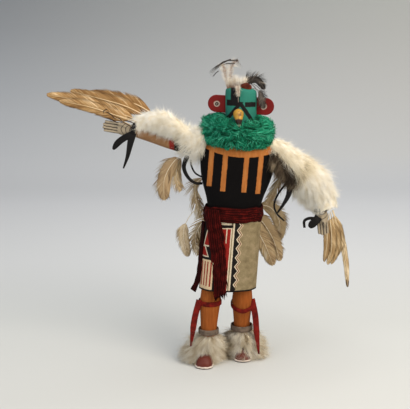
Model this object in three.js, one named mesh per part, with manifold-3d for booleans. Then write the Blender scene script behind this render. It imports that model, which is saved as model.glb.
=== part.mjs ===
// Kachina doll: an eagle dancer, about 300 mm tall to the tips of its crest. It is carved from light
// root wood, painted, and dressed in rabbit fur, feathers, yarn, leather and woven cloth.
// Millimetres, +Z up, soles at z = 0. The doll faces -Y, so its own right side is at -X.
import * as THREE from 'three';
import { mergeVertices } from 'three/addons/utils/BufferGeometryUtils.js';
import Module from 'manifold-3d';

const wasm = await Module();
wasm.setup();

// Heights of the main levels
const HEM = 75;
const BELT_LOW = 142;
const BELT_TOP = 157;
const NECK = 233;
const HEAD_TOP = 270.3;

// Stance: the trunk leans towards the doll's left, and the right foot stands in front of the left one
const LEAN = 0.075; // sideways per height
const LEAN_FOOT = 165; // height at which the trunk's middle crosses x = 0
const TILT = THREE.MathUtils.degToRad(3.6); // head, ruff and belt drop towards the doll's left
const RIGHT_LEG = { top: [-22.6, -1], ankle: [-25.5, -7], toe: [-31, -29.6], toeOut: -0.16 };
const LEFT_LEG = { top: [8.5, 0], ankle: [8.1, 7], toe: [9, -11.5], toeOut: 0.02 };

// Sizes
const GAP = 0.3; // between pieces that touch
const HEAD_X = 5.3;
const HEAD_RADIUS = 15;
const EAR_LENGTH = 17.6;
const EAR_HEIGHT = 16.3;
const EAR_THICKNESS = 4;
const BEAK_RADIUS = 5.2;
const RUFF = { wide: 34.5, deep: 27, low: 212, high: 245.9, x: 2.8 };
const KILT_WALL = 1.2;
const SASH_WIDTH = 16;
const SASH_THICKNESS = 1.5;
const FINGER_RADIUS = 1.5;
const FINGER_SPACING = 2.75;
const WRIST_TIE_RADIUS = 7.2;
const WRIST_TIE_BORE = 6;
const STRAP_THICKNESS = 1.4;
const FEATHER_THICKNESS = 0.8;
const QUILL = 0.7; // half the width of a bare quill
const FUR_FLOOR = 0.8; // the ankle fur ends this far above the ground
const FOOT_LENGTH = 33;

// Directions
const UP = new THREE.Vector3(0, 0, 1);
const FRONT = new THREE.Vector3(0, -1, 0);
const LEFTWARD = new THREE.Vector3(1, 0, 0);
const SLANT = new THREE.Vector3(1, 0, 1); // square to the drooping left arm

const finish = (color, roughness) => new THREE.MeshStandardMaterial({ color, roughness, metalness: 0 });
const FINISH = {
  blackPaint: finish('#14110f', 0.6),
  turquoisePaint: finish('#2f8f7c', 0.55),
  redPaint: finish('#8a0f0c', 0.5),
  skinPaint: finish('#a5602c', 0.6),
  yellowPaint: finish('#c08a2c', 0.5),
  brownPaint: finish('#74331d', 0.55),
  greenYarn: finish('#0f7a55', 0.95),
  whiteFur: finish('#f0e6cf', 1),
  creamFur: finish('#c9b99c', 1),
  tanFeather: finish('#a87c4c', 0.8),
  paleFeather: finish('#b39c79', 0.85),
  crestFeather: finish('#c4baa6', 0.9),
  blackLeather: finish('#0b0a0a', 0.6),
  redLeather: finish('#6d1c14', 0.65),
  greyLeather: finish('#64564b', 0.8),
  kiltLeather: finish('#95845f', 0.8),
  redCloth: finish('#4b0c09', 0.95),
};

// Outlines: each gives the point of a ring at an angle, inside a square from -1 to 1
const round = (angle) => [Math.cos(angle), Math.sin(angle)];

const squarish = (power) => (angle) =>
  [Math.cos(angle), Math.sin(angle)].map((part) => Math.sign(part) * Math.abs(part) ** (2 / power));

const loaf = (angle) => {
  const rise = Math.sin(angle);
  return [Math.cos(angle), rise > 0.01 ? 2 * rise ** 0.7 - 1 : -1];
};

// Locks of hair or strands of yarn: waves round the ring, which turn a little along the piece
const tufted = (count, depth, turn) => (angle, share) => {
  const swell = 1 - depth * (0.5 + 0.5 * Math.sin(count * angle + turn * share));
  return [swell * Math.cos(angle), swell * Math.sin(angle)];
};

const vector = (point) => new THREE.Vector3(...point);
const curve = (points) => new THREE.CatmullRomCurve3(points.map(vector), false, 'centripetal');

// A closed geometry as a solid that can be joined and cut
function solid(geometry) {
  const bare = new THREE.BufferGeometry();
  bare.setAttribute('position', geometry.getAttribute('position'));
  bare.setIndex(geometry.index);
  const merged = mergeVertices(bare, 1e-3);
  return new wasm.Manifold(
    new wasm.Mesh({
      numProp: 3,
      vertProperties: new Float32Array(merged.attributes.position.array),
      triVerts: new Uint32Array(merged.index.array),
    }),
  );
}

// Closed skin over rings: each ring has a centre and its half extents as two vectors. A grown copy
// is the tool that leaves a gap in a neighbour.
function loft(rings, { sides = 16, outline = round, grow = 0 } = {}) {
  const last = rings.length - 1;
  const geometry = new THREE.CylinderGeometry(1, 1, 1, sides, last);
  const corners = geometry.attributes.position;
  for (let n = 0; n < corners.count; n += 1) {
    const level = Math.round((corners.getY(n) + 0.5) * last);
    const { centre, across, lift } = rings[level];
    const reach = Math.hypot(corners.getX(n), corners.getZ(n));
    const [x, y] = outline(Math.atan2(corners.getZ(n), corners.getX(n)), level / last);
    const along = lift.clone().cross(across).normalize();
    const past = level === 0 ? -grow : level === last ? grow : 0;
    const point = centre
      .clone()
      .addScaledVector(across, reach * x * (1 + grow / across.length()))
      .addScaledVector(lift, reach * y * (1 + grow / lift.length()))
      .addScaledVector(along, past);
    corners.setXYZ(n, point.x, point.y, point.z);
  }
  return solid(geometry);
}

// Body of level rings stacked upwards. Levels are [height, half width, half depth].
function stack(levels, { at = () => [0, 0], tilt = 0, ...options } = {}) {
  const rings = levels.map(([height, wide, deep]) => ({
    centre: vector([...at(height), height]),
    across: vector([wide * Math.cos(tilt), 0, -wide * Math.sin(tilt)]),
    lift: vector([0, -deep, 0]),
  }));
  return loft(rings, options);
}

// Body that follows a curve, with one half extent, or a pair of them, at evenly spaced places
function tube(points, radii, { up = UP, ...options } = {}) {
  const path = curve(points);
  const rings = radii.map((radius, n) => {
    const share = n / (radii.length - 1);
    const along = path.getTangentAt(share);
    const across = along.clone().cross(up).normalize();
    const lift = across.clone().cross(along);
    const [wide, tall] = Array.isArray(radius) ? radius : [radius, radius];
    return {
      centre: path.getPointAt(share),
      across: across.multiplyScalar(wide),
      lift: lift.multiplyScalar(tall),
    };
  });
  return loft(rings, options);
}

// Flat piece along a curve, such as a feather or a strap. half(share) is half its width.
function blade(points, { half, thick = FEATHER_THICKNESS, face = FRONT, steps = 8, grow = 0 }) {
  const path = curve(points);
  const geometry = new THREE.BoxGeometry(2, 1, 1, 1, steps, 1);
  const corners = geometry.attributes.position;
  for (let n = 0; n < corners.count; n += 1) {
    const share = corners.getY(n) + 0.5;
    const along = path.getTangentAt(share);
    const across = along.clone().cross(face).normalize();
    const out = across.clone().cross(along);
    const side = corners.getX(n);
    const past = share < 0.01 ? -grow : share > 0.99 ? grow : 0;
    const point = path
      .getPointAt(share)
      .addScaledVector(across, side * (half(share) + grow))
      .addScaledVector(out, corners.getZ(n) * (thick + 2 * grow))
      .addScaledVector(along, past);
    corners.setXYZ(n, point.x, point.y, point.z);
  }
  return solid(geometry);
}

const join = (first, ...others) => others.reduce((whole, part) => whole.add(part), first);
const cut = (first, ...tools) => tools.reduce((left, tool) => left.subtract(tool), first);

// The main body of a cut piece, without the crumbs that a cut can leave
const largest = (piece) => piece.decompose().sort((a, b) => b.volume() - a.volume())[0];

// Half width of a feather: a bare quill, a vane that opens quickly, and a rounded tip
const vane = (width, bare, blunt = 3) => (share) => {
  const along = Math.max(0, (share - bare) / (1 - bare));
  const opening = Math.min(1, along / 0.2) ** 0.7;
  return QUILL + width * opening * Math.sqrt(Math.max(0, 1 - along ** blunt));
};

// Half width of a strap that narrows evenly from one end to the other
const narrowing = (from, to) => (share) => from + (to - from) * share;

// Half width of a strap with a rounded far end
const rounded = (wide) => (share) => {
  const nearEnd = Math.max(0, (share - 0.6) / 0.4);
  return wide * Math.sqrt(1 - 0.92 * nearEnd ** 2);
};

const between = (from, to, share) => from.map((part, axis) => part + (to[axis] - part) * share);

// The doll's pieces: each function returns a solid, and takes how far to grow it where it is a tool

const trunkX = (height) => LEAN * (height - LEAN_FOOT);
const onTrunk = { at: (height) => [trunkX(height), 0], outline: squarish(2.4) };

function trunk(grow = 0) {
  const levels = [
    [HEM + 2, 25.4, 17.4],
    [BELT_LOW + 8, 25.4, 15.6],
    [BELT_TOP, 26, 15.8],
    [166, 28, 16.4],
    [176, 31.4, 17],
    [187, 34.4, 17.6],
    [203, 36.4, 17.8],
    [212, 35.9, 16.4],
    [217.5, 31, 13.8],
    [221.5, 17, 10.8],
    [225, 10, 9.4],
    [NECK + 1, 9.8, 9.2],
  ];
  return stack(levels, { ...onTrunk, sides: 16, grow });
}

const legTop = 88;
const ankleHeight = 30;
const legAt = ({ top, ankle }) => (height) =>
  between(ankle, top, Math.max(0, (height - ankleHeight) / (legTop - ankleHeight)));

function leg(side, grow = 0) {
  const levels = [
    [14, 7.4, 7.6],
    [36, 8.1, 8.4],
    [48, 9.1, 9.6],
    [60, 10.2, 10.2],
    [72, 9.3, 9.6],
    [legTop, 9.2, 9.4],
  ];
  return stack(levels, { at: legAt(side), sides: 12, grow });
}

function moccasin({ toe, toeOut }, grow = 0) {
  const forward = vector([toeOut, -1, 0]).normalize();
  const heel = vector([...toe, 0]).addScaledVector(forward, -FOOT_LENGTH);
  const levels = [
    [0, 5.2, 8.5],
    [3, 7, 13],
    [13, 7.6, 13.5],
    [21, 8.5, 12.2],
    [27.5, 8.5, 10.2],
    [31, 6.8, 7.6],
    [FOOT_LENGTH, 3.6, 4.4],
  ];
  const rings = levels.map(([along, wide, high]) => ({
    centre: heel.clone().addScaledVector(forward, along).setZ(high / 2),
    across: forward.clone().cross(UP).multiplyScalar(wide),
    lift: vector([0, 0, high / 2]),
  }));
  return loft(rings, { sides: 12, outline: loaf, grow });
}

function body() {
  return cut(join(trunk(), leg(RIGHT_LEG), leg(LEFT_LEG)), head(GAP));
}

function head(grow = 0) {
  const levels = [
    [NECK, 13.6, 13.2],
    [237, HEAD_RADIUS - 0.4, HEAD_RADIUS - 0.8],
    [251, HEAD_RADIUS, HEAD_RADIUS - 0.4],
    [266, HEAD_RADIUS, HEAD_RADIUS - 0.4],
    [268.8, 13.8, 13.4],
    [HEAD_TOP, 8.5, 8],
  ];
  return stack(levels, { at: () => [HEAD_X, 0], tilt: TILT, sides: 22, grow });
}

function ear(side) {
  const radius = EAR_HEIGHT / 2;
  const outline = new THREE.Shape();
  const centre = EAR_LENGTH - radius + HEAD_RADIUS - 1;
  outline.moveTo(0, -radius);
  outline.lineTo(centre, -radius);
  outline.absarc(centre, 0, radius, -Math.PI / 2, Math.PI / 2, false);
  outline.lineTo(0, radius);
  const geometry = new THREE.ExtrudeGeometry(outline, {
    depth: EAR_THICKNESS - 1,
    bevelThickness: 0.5,
    bevelSize: 0.5,
    bevelOffset: -0.5,
    bevelSegments: 1,
    curveSegments: 6,
  });
  geometry.translate(0, 0, (1 - EAR_THICKNESS) / 2);
  geometry.rotateX(Math.PI / 2);
  if (side < 0) geometry.rotateZ(Math.PI);
  geometry.rotateY(TILT);
  geometry.translate(HEAD_X, 0, 254.2);
  return largest(cut(solid(geometry), head(GAP)));
}

function beak(grow = 0) {
  const route = [
    [2.3, -11, 247.5],
    [2.3, -18, 248],
    [2.2, -22.5, 244.5],
    [2.1, -23.6, 237],
  ];
  const radii = [BEAK_RADIUS, BEAK_RADIUS, 5, 4.5, 3.4, 1.4];
  return cut(tube(route, radii, { up: LEFTWARD, sides: 10, grow }), head(GAP));
}

function ruff(grow = 0) {
  const levels = [];
  const middle = (RUFF.low + RUFF.high) / 2;
  const half = (RUFF.high - RUFF.low) / 2;
  for (const share of [-1, -0.84, -0.45, 0.45, 0.84, 1]) {
    const swell = (1 - Math.abs(share) ** 2.6) ** 0.5 * 0.62 + 0.38;
    levels.push([middle + half * share, RUFF.wide * swell, RUFF.deep * swell]);
  }
  const outline = tufted(9, 0.09, 9);
  const ring = stack(levels, { at: () => [RUFF.x, -1], tilt: TILT, sides: 18, outline, grow });
  const tools = [trunk(GAP), head(GAP), beak(2 * GAP)];
  if (!grow) tools.push(rightArm(GAP), leftArm(GAP));
  return largest(cut(ring, ...tools));
}

// Crest: soft feathers that rise from a binding on top of the head and arch over
const CREST = [
  { route: [[-8.5, 0, 271], [-10, 0, 284], [-13, 0, 293], [-23, 0, 284]], width: 3.6 },
  { route: [[-5.5, 2, 271.2], [-4.5, 2, 284], [-3.5, 2, 292], [2, 2, 296.5]], width: 5.5 },
  { route: [[9, 3, 271], [13, 3, 280], [20, 2, 281.5], [28, 1, 271]], width: 4.5 },
  { route: [[14.5, -5, 270.5], [21.5, -7, 268], [24.5, -8.5, 259], [26, -8.5, 251]], width: 4 },
  { route: [[1.5, -7, 272], [1.5, -14, 271.6], [1.8, -17.4, 266], [2, -17.6, 257.5]], width: 3 },
];

function crestFeather({ route, width }, grow = 0) {
  const feather = blade(route, { half: vane(width, 0.12), thick: 1.2, steps: 8, grow });
  return cut(feather, head(GAP));
}

function crestTie() {
  const knot = tube([[5.5, -3, 272.2], [13, -3.5, 271.8]], [2.2, 3.6, 3.6, 2.4], { sides: 8 });
  return largest(cut(knot, head(GAP), ...CREST.map((feather) => crestFeather(feather, GAP))));
}

// Arms: one carved piece each, from the shoulder to the fingertips
const ARM_RADII = [7, 6.8, 6.5, 6.3, 6, 5.6, 5.2];
const RIGHT_ARM = [
  [-29, 0, 214.5], [-47, -1, 214.6], [-61, -2, 218.2], [-80, -4, 224.6], [-98, -6, 230.3],
];
const LEFT_ARM = [
  [31, 0, 213], [46, -1, 209], [62, -2, 198.5], [76, -4, 183], [82, -5.5, 166], [84, -6.5, 151],
];

// A hand: a flat palm, four fingers side by side along `spread`, and a thumb on the front
function hand({ wrist, knuckles, tips, thumb, up }, grow = 0) {
  const palm = tube([wrist, knuckles], [[4, 4.6], [3.2, 6.3], [2, 5.2]], { up, sides: 8, grow });
  const along = vector(tips).sub(vector(knuckles)).normalize();
  const spread = FRONT.clone().cross(along);
  const fingers = [-1.5, -0.5, 0.5, 1.5].map((place) => {
    const aside = (point, share) =>
      vector(point).addScaledVector(spread, place * FINGER_SPACING * share).toArray();
    const root = aside(between(knuckles, wrist, 0.25), 1);
    const reach = Math.abs(place) > 1 ? 0.9 : 1; // the outer fingers are shorter
    const route = [root, aside(knuckles, 1), between(aside(knuckles, 1), aside(tips, 1.05), reach)];
    return tube(route, [FINGER_RADIUS, FINGER_RADIUS, FINGER_RADIUS - 0.3], { up, sides: 5, grow });
  });
  const thumbPiece = tube(thumb, [1.9, 1.8, 0.9], { up, sides: 5, grow });
  return join(palm, ...fingers, thumbPiece);
}

const RIGHT_HAND = {
  wrist: [-96.5, -6, 229.8],
  knuckles: [-112.5, -6.5, 233],
  tips: [-126, -7, 235.2],
  thumb: [[-101, -8.5, 233], [-107, -10, 236.5], [-113, -10.5, 238]],
  up: UP,
};
const LEFT_HAND = {
  wrist: [84, -6.5, 152.5],
  knuckles: [86.5, -7, 141.5],
  tips: [89.5, -7.5, 129],
  thumb: [[84, -9.5, 147], [88, -11, 142], [91, -11.5, 137]],
  up: LEFTWARD,
};

function arm(route, palm, up, grow = 0) {
  return join(tube(route, ARM_RADII, { up, sides: 8, grow }), hand(palm, grow));
}
const rightArm = (grow = 0) => arm(RIGHT_ARM, RIGHT_HAND, UP, grow);
const leftArm = (grow = 0) => arm(LEFT_ARM, LEFT_HAND, SLANT, grow);

// Wrist ties: a band round the wrist and the two ends of its knot
const WRIST_TIES = {
  right: {
    band: [[-95.4, -5.7, 229.4], [-99.4, -6, 230.7]],
    up: UP,
    ends: [
      {
        route: [[-96.5, -11.4, 227.5], [-104, -12.6, 224.5], [-111, -13.2, 219.5], [-116, -13.2, 213]],
        half: rounded(3.1),
      },
      {
        route: [[-97.5, -11.4, 228.5], [-100, -12.8, 217], [-102.5, -13.4, 206], [-106.5, -13.4, 195]],
        half: narrowing(3.9, 0.7),
      },
    ],
  },
  left: {
    band: [[83.2, -6.2, 156.5], [83.8, -6.4, 152.5]],
    up: LEFTWARD,
    ends: [
      {
        route: [[79.5, -11.4, 154], [77.5, -12.4, 147], [75.8, -13, 142], [75, -13, 136.5]],
        half: rounded(3.5),
      },
      {
        route: [[77, -12.6, 146.4], [70.5, -13, 146.4], [66.6, -13, 144], [66.8, -13, 137.4]],
        half: narrowing(1.6, 1.2),
      },
    ],
  },
};

function wristTie({ band, up, ends }, wholeArm, grow = 0) {
  const ring = tube(band, [WRIST_TIE_RADIUS, WRIST_TIE_RADIUS], { up, sides: 10, grow });
  const knot = ends.map(({ route, half }) => blade(route, { half, thick: 2.4, steps: 4, grow }));
  const whole = join(ring, ...knot);
  const bore = tube(band, [WRIST_TIE_BORE, WRIST_TIE_BORE], { up, sides: 10, grow: 2 * GAP });
  return grow ? whole : largest(cut(whole, bore, wholeArm));
}

// Wing feathers: route from the quill's end to the tip, in parallel layers so that they can overlap
const RIGHT_WING = [
  {
    route: [[-90, 3, 238.5], [-112, 3, 246.5], [-148, 3, 258], [-180.5, 3, 264]],
    width: 6.2, bare: 0.2,
  },
  {
    route: [[-86, 5.2, 243.5], [-106, 5.2, 253], [-132, 5.2, 260.5], [-158, 5.2, 267.5]],
    width: 5.8, bare: 0.1,
  },
  {
    route: [[-80, 7.4, 246], [-94, 7.4, 253.8], [-114, 7.4, 260.5], [-141, 7.4, 266]],
    width: 5.6, bare: 0.04,
  },
  {
    route: [[-93, 0.8, 236.5], [-112, 0.8, 243.5], [-140, 0.8, 252.5], [-168, 0.8, 258]],
    width: 5.6, bare: 0.22,
  },
];
const LEFT_WING = [
  {
    route: [[89.5, -1.8, 146], [91, -1.8, 130], [91.5, -1.8, 115], [90.5, -1.8, 99]],
    width: 3.4, bare: 0.1,
  },
  { route: [[92, 0.3, 149], [95.5, 0.3, 130], [97, 0.3, 112], [95, 0.3, 95.5]], width: 4.6, bare: 0.1 },
  { route: [[94, 2.4, 150], [100, 2.4, 130], [102, 2.4, 114], [99.5, 2.4, 95]], width: 5, bare: 0.1 },
  { route: [[96, 4.5, 151], [103, 4.5, 134], [106, 4.5, 119], [104, 4.5, 101]], width: 4.2, bare: 0.1 },
  {
    route: [[97, 6.6, 151], [105, 6.6, 128], [111, 6.6, 101], [114, 6.6, 72.5]],
    width: 2.9, bare: 0.12,
  },
];

function wingFeather({ route, width, bare }, grow = 0) {
  return blade(route, { half: vane(width, bare), steps: 8, grow });
}

// Small leather thongs off the arms
const THONGS = {
  right_arm_thong_1: {
    route: [[-46, -6, 206], [-49.3, -5, 195], [-45, -3, 184.5], [-38, -1.5, 179], [-31.5, 0, 178.6]],
    half: narrowing(2.3, 1.2),
  },
  right_arm_thong_2: {
    route: [[-42.5, -3, 202], [-42, -2.5, 196], [-38.5, -1.5, 189], [-32.5, 0, 185]],
    half: narrowing(0.9, 0.8),
  },
  left_arm_thong_1: {
    route: [[48, -7, 178.5], [41, -6, 168], [38, -5, 158], [40.5, -5, 150], [48, -5, 142.5]],
    half: narrowing(1, 0.8),
  },
  left_arm_thong_2: {
    route: [[53, -9.5, 178], [51, -9, 168], [46, -8.5, 158.5], [41, -8, 151]],
    half: narrowing(3.3, 0.8),
  },
};
const thong = ({ route, half }, grow = 0) =>
  cut(blade(route, { half, thick: STRAP_THICKNESS, steps: 6, grow }), trunk(GAP));

// Soft feathers that hang from the arms and the back
const PLUMES = {
  right_arm_plume_1: {
    route: [[-50.5, 0, 206.6], [-59, 0, 200], [-69, 0, 184], [-71, 0, 162]],
    width: 6.4, bare: 0.1,
  },
  right_arm_plume_2: {
    route: [[-49.5, 3, 206.6], [-56, 3, 196], [-56, 3, 182], [-50.5, 3, 171]],
    width: 4, bare: 0.2,
  },
  left_arm_plume: {
    route: [[49, 6, 200], [45, 6, 186], [39, 6, 171], [31.5, 6, 157.5]],
    width: 4.4, bare: 0.2,
  },
  right_back_feather: {
    route: [[-29, 13.5, 184], [-38, 14.5, 176], [-38, 15, 162], [-33, 15, 142]],
    width: 5.6, bare: 0.08,
  },
};
const plume = ({ route, width, bare }, grow = 0) =>
  blade(route, { half: vane(width, bare, 7), steps: 8, grow });

// Tail: feathers tucked behind the belt, in layers, fanned out below it
const TAIL = [
  { route: [[-21, 19.2, 152], [-38, 21, 149], [-50.5, 22, 128], [-46.5, 22, 100]], width: 6 },
  { route: [[-17, 19.6, 149], [-30, 22, 138], [-38.5, 24.4, 121], [-36, 24.4, 101]], width: 5.2 },
  { route: [[-10, 19.8, 149], [-14, 21.5, 130], [-17, 22, 108], [-18, 22, 84]], width: 7.5 },
  { route: [[0, 20, 149], [3, 23.5, 130], [5, 24.4, 106], [6, 24.4, 80]], width: 8 },
  { route: [[9, 19.8, 149], [20, 21.5, 133], [31, 22, 114], [41.5, 22, 91]], width: 7 },
  { route: [[14, 19.8, 151], [28, 23.5, 137], [40, 24.4, 118], [49.6, 24.4, 95]], width: 6 },
  { route: [[18, 19.6, 154], [36, 24.5, 151], [46, 26.8, 137], [47, 26.8, 116]], width: 7.8 },
];
const tailFeather = ({ route, width }, grow = 0) =>
  blade(route, { half: vane(width, 0.14, 4), steps: 8, grow });

// Fur sleeves: locks of rabbit fur round the arms. Half extents are [depth, height].
const RIGHT_FUR = {
  route: [
    [-31, 0, 222], [-41, 0, 221], [-51, 0, 225.5], [-60, 0.5, 231.5],
    [-68.5, 1, 236], [-78, 0, 238], [-87, -1.5, 237.5], [-96, -3, 235.5],
  ],
  extents: [[10, 11.5], [12.4, 15], [13, 13.8], [13.4, 12.6], [13, 13.4], [12, 12], [10, 9.6], [7, 6]],
};
const LEFT_FUR = {
  route: [
    [33, 0.5, 215.5], [43, -0.5, 208], [55, -0.5, 197.5], [68, -0.5, 186],
    [78, -1.5, 175], [86, -2.5, 163.5], [94, -3, 149.5],
  ],
  extents: [
    [11, 10.5], [13, 15], [14.5, 18], [14.5, 19.5], [14.5, 20], [14.5, 19.5], [13, 18], [9.5, 12.5],
  ],
};
const sleeve = ({ route, extents }, up, ...tools) =>
  largest(cut(tube(route, extents, { up, sides: 14, outline: tufted(7, 0.13, 7) }), ...tools));

// Kilt: a tube of painted leather, open below
const KILT = [
  [HEM, 27.6, 19.6],
  [108, 27.2, 18.6],
  [BELT_LOW + 7, 27.1, 17.4],
];

const kiltCore = (grow = 0) => stack(KILT, { ...onTrunk, sides: 20, grow });

function kilt() {
  const inside = KILT.map(([height, wide, deep]) => [height, wide - KILT_WALL, deep - KILT_WALL]);
  const [, lowWide, lowDeep] = inside[0];
  const [, highWide, highDeep] = inside[inside.length - 1];
  const below = [HEM - 1, lowWide, lowDeep];
  const above = [BELT_LOW + 8, highWide, highDeep];
  return cut(kiltCore(), stack([below, ...inside, above], { ...onTrunk, sides: 20 }));
}

// Sash: a woven belt, its wide end in front and its narrow end at the right hip
const BELT = [
  [BELT_LOW, 28.9, 19.2],
  [BELT_LOW + 8, 28.9, 19.2],
  [BELT_TOP, 28.3, 18.2],
];
const beltCore = (grow = 0) => stack(BELT, { ...onTrunk, sides: 20, grow });

function belt() {
  const bore = [
    [BELT_LOW - 1, 27.6, 18],
    [BELT_LOW + 8, 27.6, 18],
    [BELT_TOP + 1, 26.7, 16.5],
  ];
  return cut(beltCore(), stack(bore, { ...onTrunk, sides: 20 }));
}

// How far the dressed front of the kilt or the belt stands at a point
function frontAt(x, height) {
  const levels = height > BELT_LOW - 1 ? BELT : KILT;
  const upper = Math.max(1, levels.findIndex(([z]) => z >= height));
  const [low, high] = [levels[upper - 1], levels[upper]];
  const share = THREE.MathUtils.clamp((height - low[0]) / (high[0] - low[0]), -0.4, 1);
  const [, wide, deep] = between(low, high, share);
  const aside = Math.min(1, Math.abs(x - trunkX(height)) / wide);
  return -deep * (1 - aside ** 2.4) ** (1 / 2.4);
}

// The sash's front end lies on the belt and the kilt and ends in a slanting fringe below the hem
function sashFront() {
  const geometry = new THREE.BoxGeometry(SASH_WIDTH, 1, 1, 3, 8, 1);
  const corners = geometry.attributes.position;
  const top = BELT_TOP - 4;
  const bottom = HEM - 4;
  for (let n = 0; n < corners.count; n += 1) {
    const share = 0.5 - corners.getY(n);
    const side = corners.getX(n) / (SASH_WIDTH / 2);
    const gather = 1 + 0.4 * Math.exp(-(((share - 0.16) / 0.12) ** 2));
    const height = top + (bottom - top) * share + 3.5 * side * share ** 4;
    const x = -18 + 3 * share + side * (SASH_WIDTH / 2) * gather;
    const offTheBelt = 1.5 * THREE.MathUtils.smoothstep(height, BELT_LOW - 9, BELT_LOW - 1);
    const surface = frontAt(x, Math.max(height, HEM)) - (height > BELT_LOW - 1 ? 0 : offTheBelt);
    const proud = 2 * GAP + (corners.getZ(n) + 0.5) * SASH_THICKNESS;
    corners.setXYZ(n, x, surface - proud, height);
  }
  return largest(cut(solid(geometry), kiltCore(GAP), beltCore(GAP)));
}

function sashSide() {
  const route = [[-31.6, -4, 141], [-33.8, -4.5, 118], [-37, -5, 94], [-41.5, -5.5, 73.5]];
  const strap = blade(route, { half: () => 3.6, thick: 1.6, face: vector([-1, -0.35, 0]), steps: 7 });
  return cut(strap, kiltCore(GAP), beltCore(GAP));
}

// Garters: a band below the knee with hanging ends on the outer side
const GARTERS = {
  right: {
    side: RIGHT_LEG,
    low: 58.3,
    high: 63.2,
    radius: 11.6,
    nod: 0,
    tail: [[-34.5, -9.4, 64], [-39, -12.5, 47], [-41, -13.4, 34], [-43, -13.4, 19.5]],
  },
  left: {
    side: LEFT_LEG,
    low: 54,
    high: 58.2,
    radius: 11.6,
    nod: 0.32,
    tail: [[17.6, -0.5, 62.5], [21, -2.2, 46], [22.3, -3.2, 30], [24.6, -3.6, 8.5]],
  },
};
const garterTail = ({ tail }, grow = 0) =>
  blade(tail, { half: narrowing(3.2, 1), thick: STRAP_THICKNESS, steps: 5, grow });

function garter({ side, low, high, radius, nod, tail }) {
  const middle = (low + high) / 2;
  const [x, y] = legAt(side)(middle);
  const rings = [low, high].map((height) => ({
    centre: vector([x, y, height]),
    across: vector([radius, 0, 0]),
    lift: vector([0, -radius, -radius * nod]),
  }));
  const band = loft(rings, { sides: 12 });
  return largest(cut(join(band, garterTail({ tail })), leg(side, GAP)));
}

// Ankles: a leather strap above a flared skirt of fur that leaves the toes free
const ANKLES = {
  right: { side: RIGHT_LEG, strap: [29.2, 34.8, 10.2], skirt: [-31, -2.5], wide: 19.4, deep: 16 },
  left: { side: LEFT_LEG, strap: [28.6, 34.2, 11.2], skirt: [11.4, 8.6], wide: 20.6, deep: 15 },
};

function ankleStrap({ side, strap: [low, high, radius] }) {
  const levels = [[low, radius, radius], [high, radius - 0.4, radius - 0.4]];
  const band = stack(levels, { at: legAt(side), sides: 12 });
  return cut(band, leg(side, GAP));
}

function ankleFur(ankle, tail) {
  const top = ankle.strap[0] - GAP;
  const at = (height) => between(legAt(ankle.side)(top), ankle.skirt, Math.min(1, (top - height) / 18));
  const levels = [
    [FUR_FLOOR, ankle.wide * 0.96, ankle.deep * 0.96],
    [6, ankle.wide, ankle.deep],
    [18, ankle.wide * 0.8, ankle.deep * 0.86],
    [top, ankle.strap[2] + 0.8, ankle.strap[2] + 0.6],
  ];
  const skirt = stack(levels, { at, sides: 18, outline: tufted(9, 0.1, 2) });
  return largest(cut(skirt, leg(ankle.side, GAP), moccasin(ankle.side, GAP), garterTail(tail, GAP)));
}

// Assembly
const doll = new THREE.Group();

function place(name, piece, material) {
  const { vertProperties, triVerts } = piece.getMesh();
  const geometry = new THREE.BufferGeometry();
  geometry.setAttribute('position', new THREE.BufferAttribute(vertProperties, 3));
  geometry.setIndex(new THREE.BufferAttribute(triVerts, 1));
  geometry.computeVertexNormals();
  const mesh = new THREE.Mesh(geometry, material);
  mesh.name = name;
  doll.add(mesh);
}

function placeEach(name, pieces, material) {
  pieces.forEach((piece, n) => place(`${name}_${n + 1}`, piece, material));
}

place('body', body(), FINISH.blackPaint);
place('right_moccasin', moccasin(RIGHT_LEG), FINISH.brownPaint);
place('left_moccasin', moccasin(LEFT_LEG), FINISH.brownPaint);
place('head', head(), FINISH.turquoisePaint);
place('right_ear', ear(-1), FINISH.redPaint);
place('left_ear', ear(1), FINISH.redPaint);
place('beak', beak(), FINISH.yellowPaint);
place('neck_ruff', ruff(), FINISH.greenYarn);
place('crest_tie', crestTie(), FINISH.redLeather);
placeEach('crest_feather', CREST.map((feather) => crestFeather(feather)), FINISH.crestFeather);

place('right_arm', cut(rightArm(), trunk(GAP)), FINISH.skinPaint);
place('left_arm', cut(leftArm(), trunk(GAP)), FINISH.skinPaint);
place('right_wrist_tie', wristTie(WRIST_TIES.right, rightArm(GAP)), FINISH.blackLeather);
place('left_wrist_tie', wristTie(WRIST_TIES.left, leftArm(GAP)), FINISH.blackLeather);
for (const [name, strap] of Object.entries(THONGS)) place(name, thong(strap), FINISH.blackLeather);
for (const [name, feather] of Object.entries(PLUMES)) place(name, plume(feather), FINISH.paleFeather);
placeEach('right_wing_feather', RIGHT_WING.map((feather) => wingFeather(feather)), FINISH.tanFeather);
placeEach('left_wing_feather', LEFT_WING.map((feather) => wingFeather(feather)), FINISH.tanFeather);

// The fur gives way to what it covers
const plumeTools = Object.values(PLUMES).map((feather) => plume(feather, GAP));
const thongTools = Object.values(THONGS).map((strap) => thong(strap, GAP));
const nearShoulders = [trunk(GAP), ruff(GAP), ...plumeTools, ...thongTools];

function furSleeve(shape, up, wholeArm, tie, wing) {
  const quills = wing.map((feather) => wingFeather(feather, GAP));
  return sleeve(shape, up, wholeArm, wristTie(tie, wholeArm, 2 * GAP), ...nearShoulders, ...quills);
}
const rightFur = furSleeve(RIGHT_FUR, UP, rightArm(GAP), WRIST_TIES.right, RIGHT_WING);
const leftFur = furSleeve(LEFT_FUR, SLANT, leftArm(GAP), WRIST_TIES.left, LEFT_WING);
place('right_sleeve_fur', rightFur, FINISH.whiteFur);
place('left_sleeve_fur', leftFur, FINISH.whiteFur);

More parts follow.
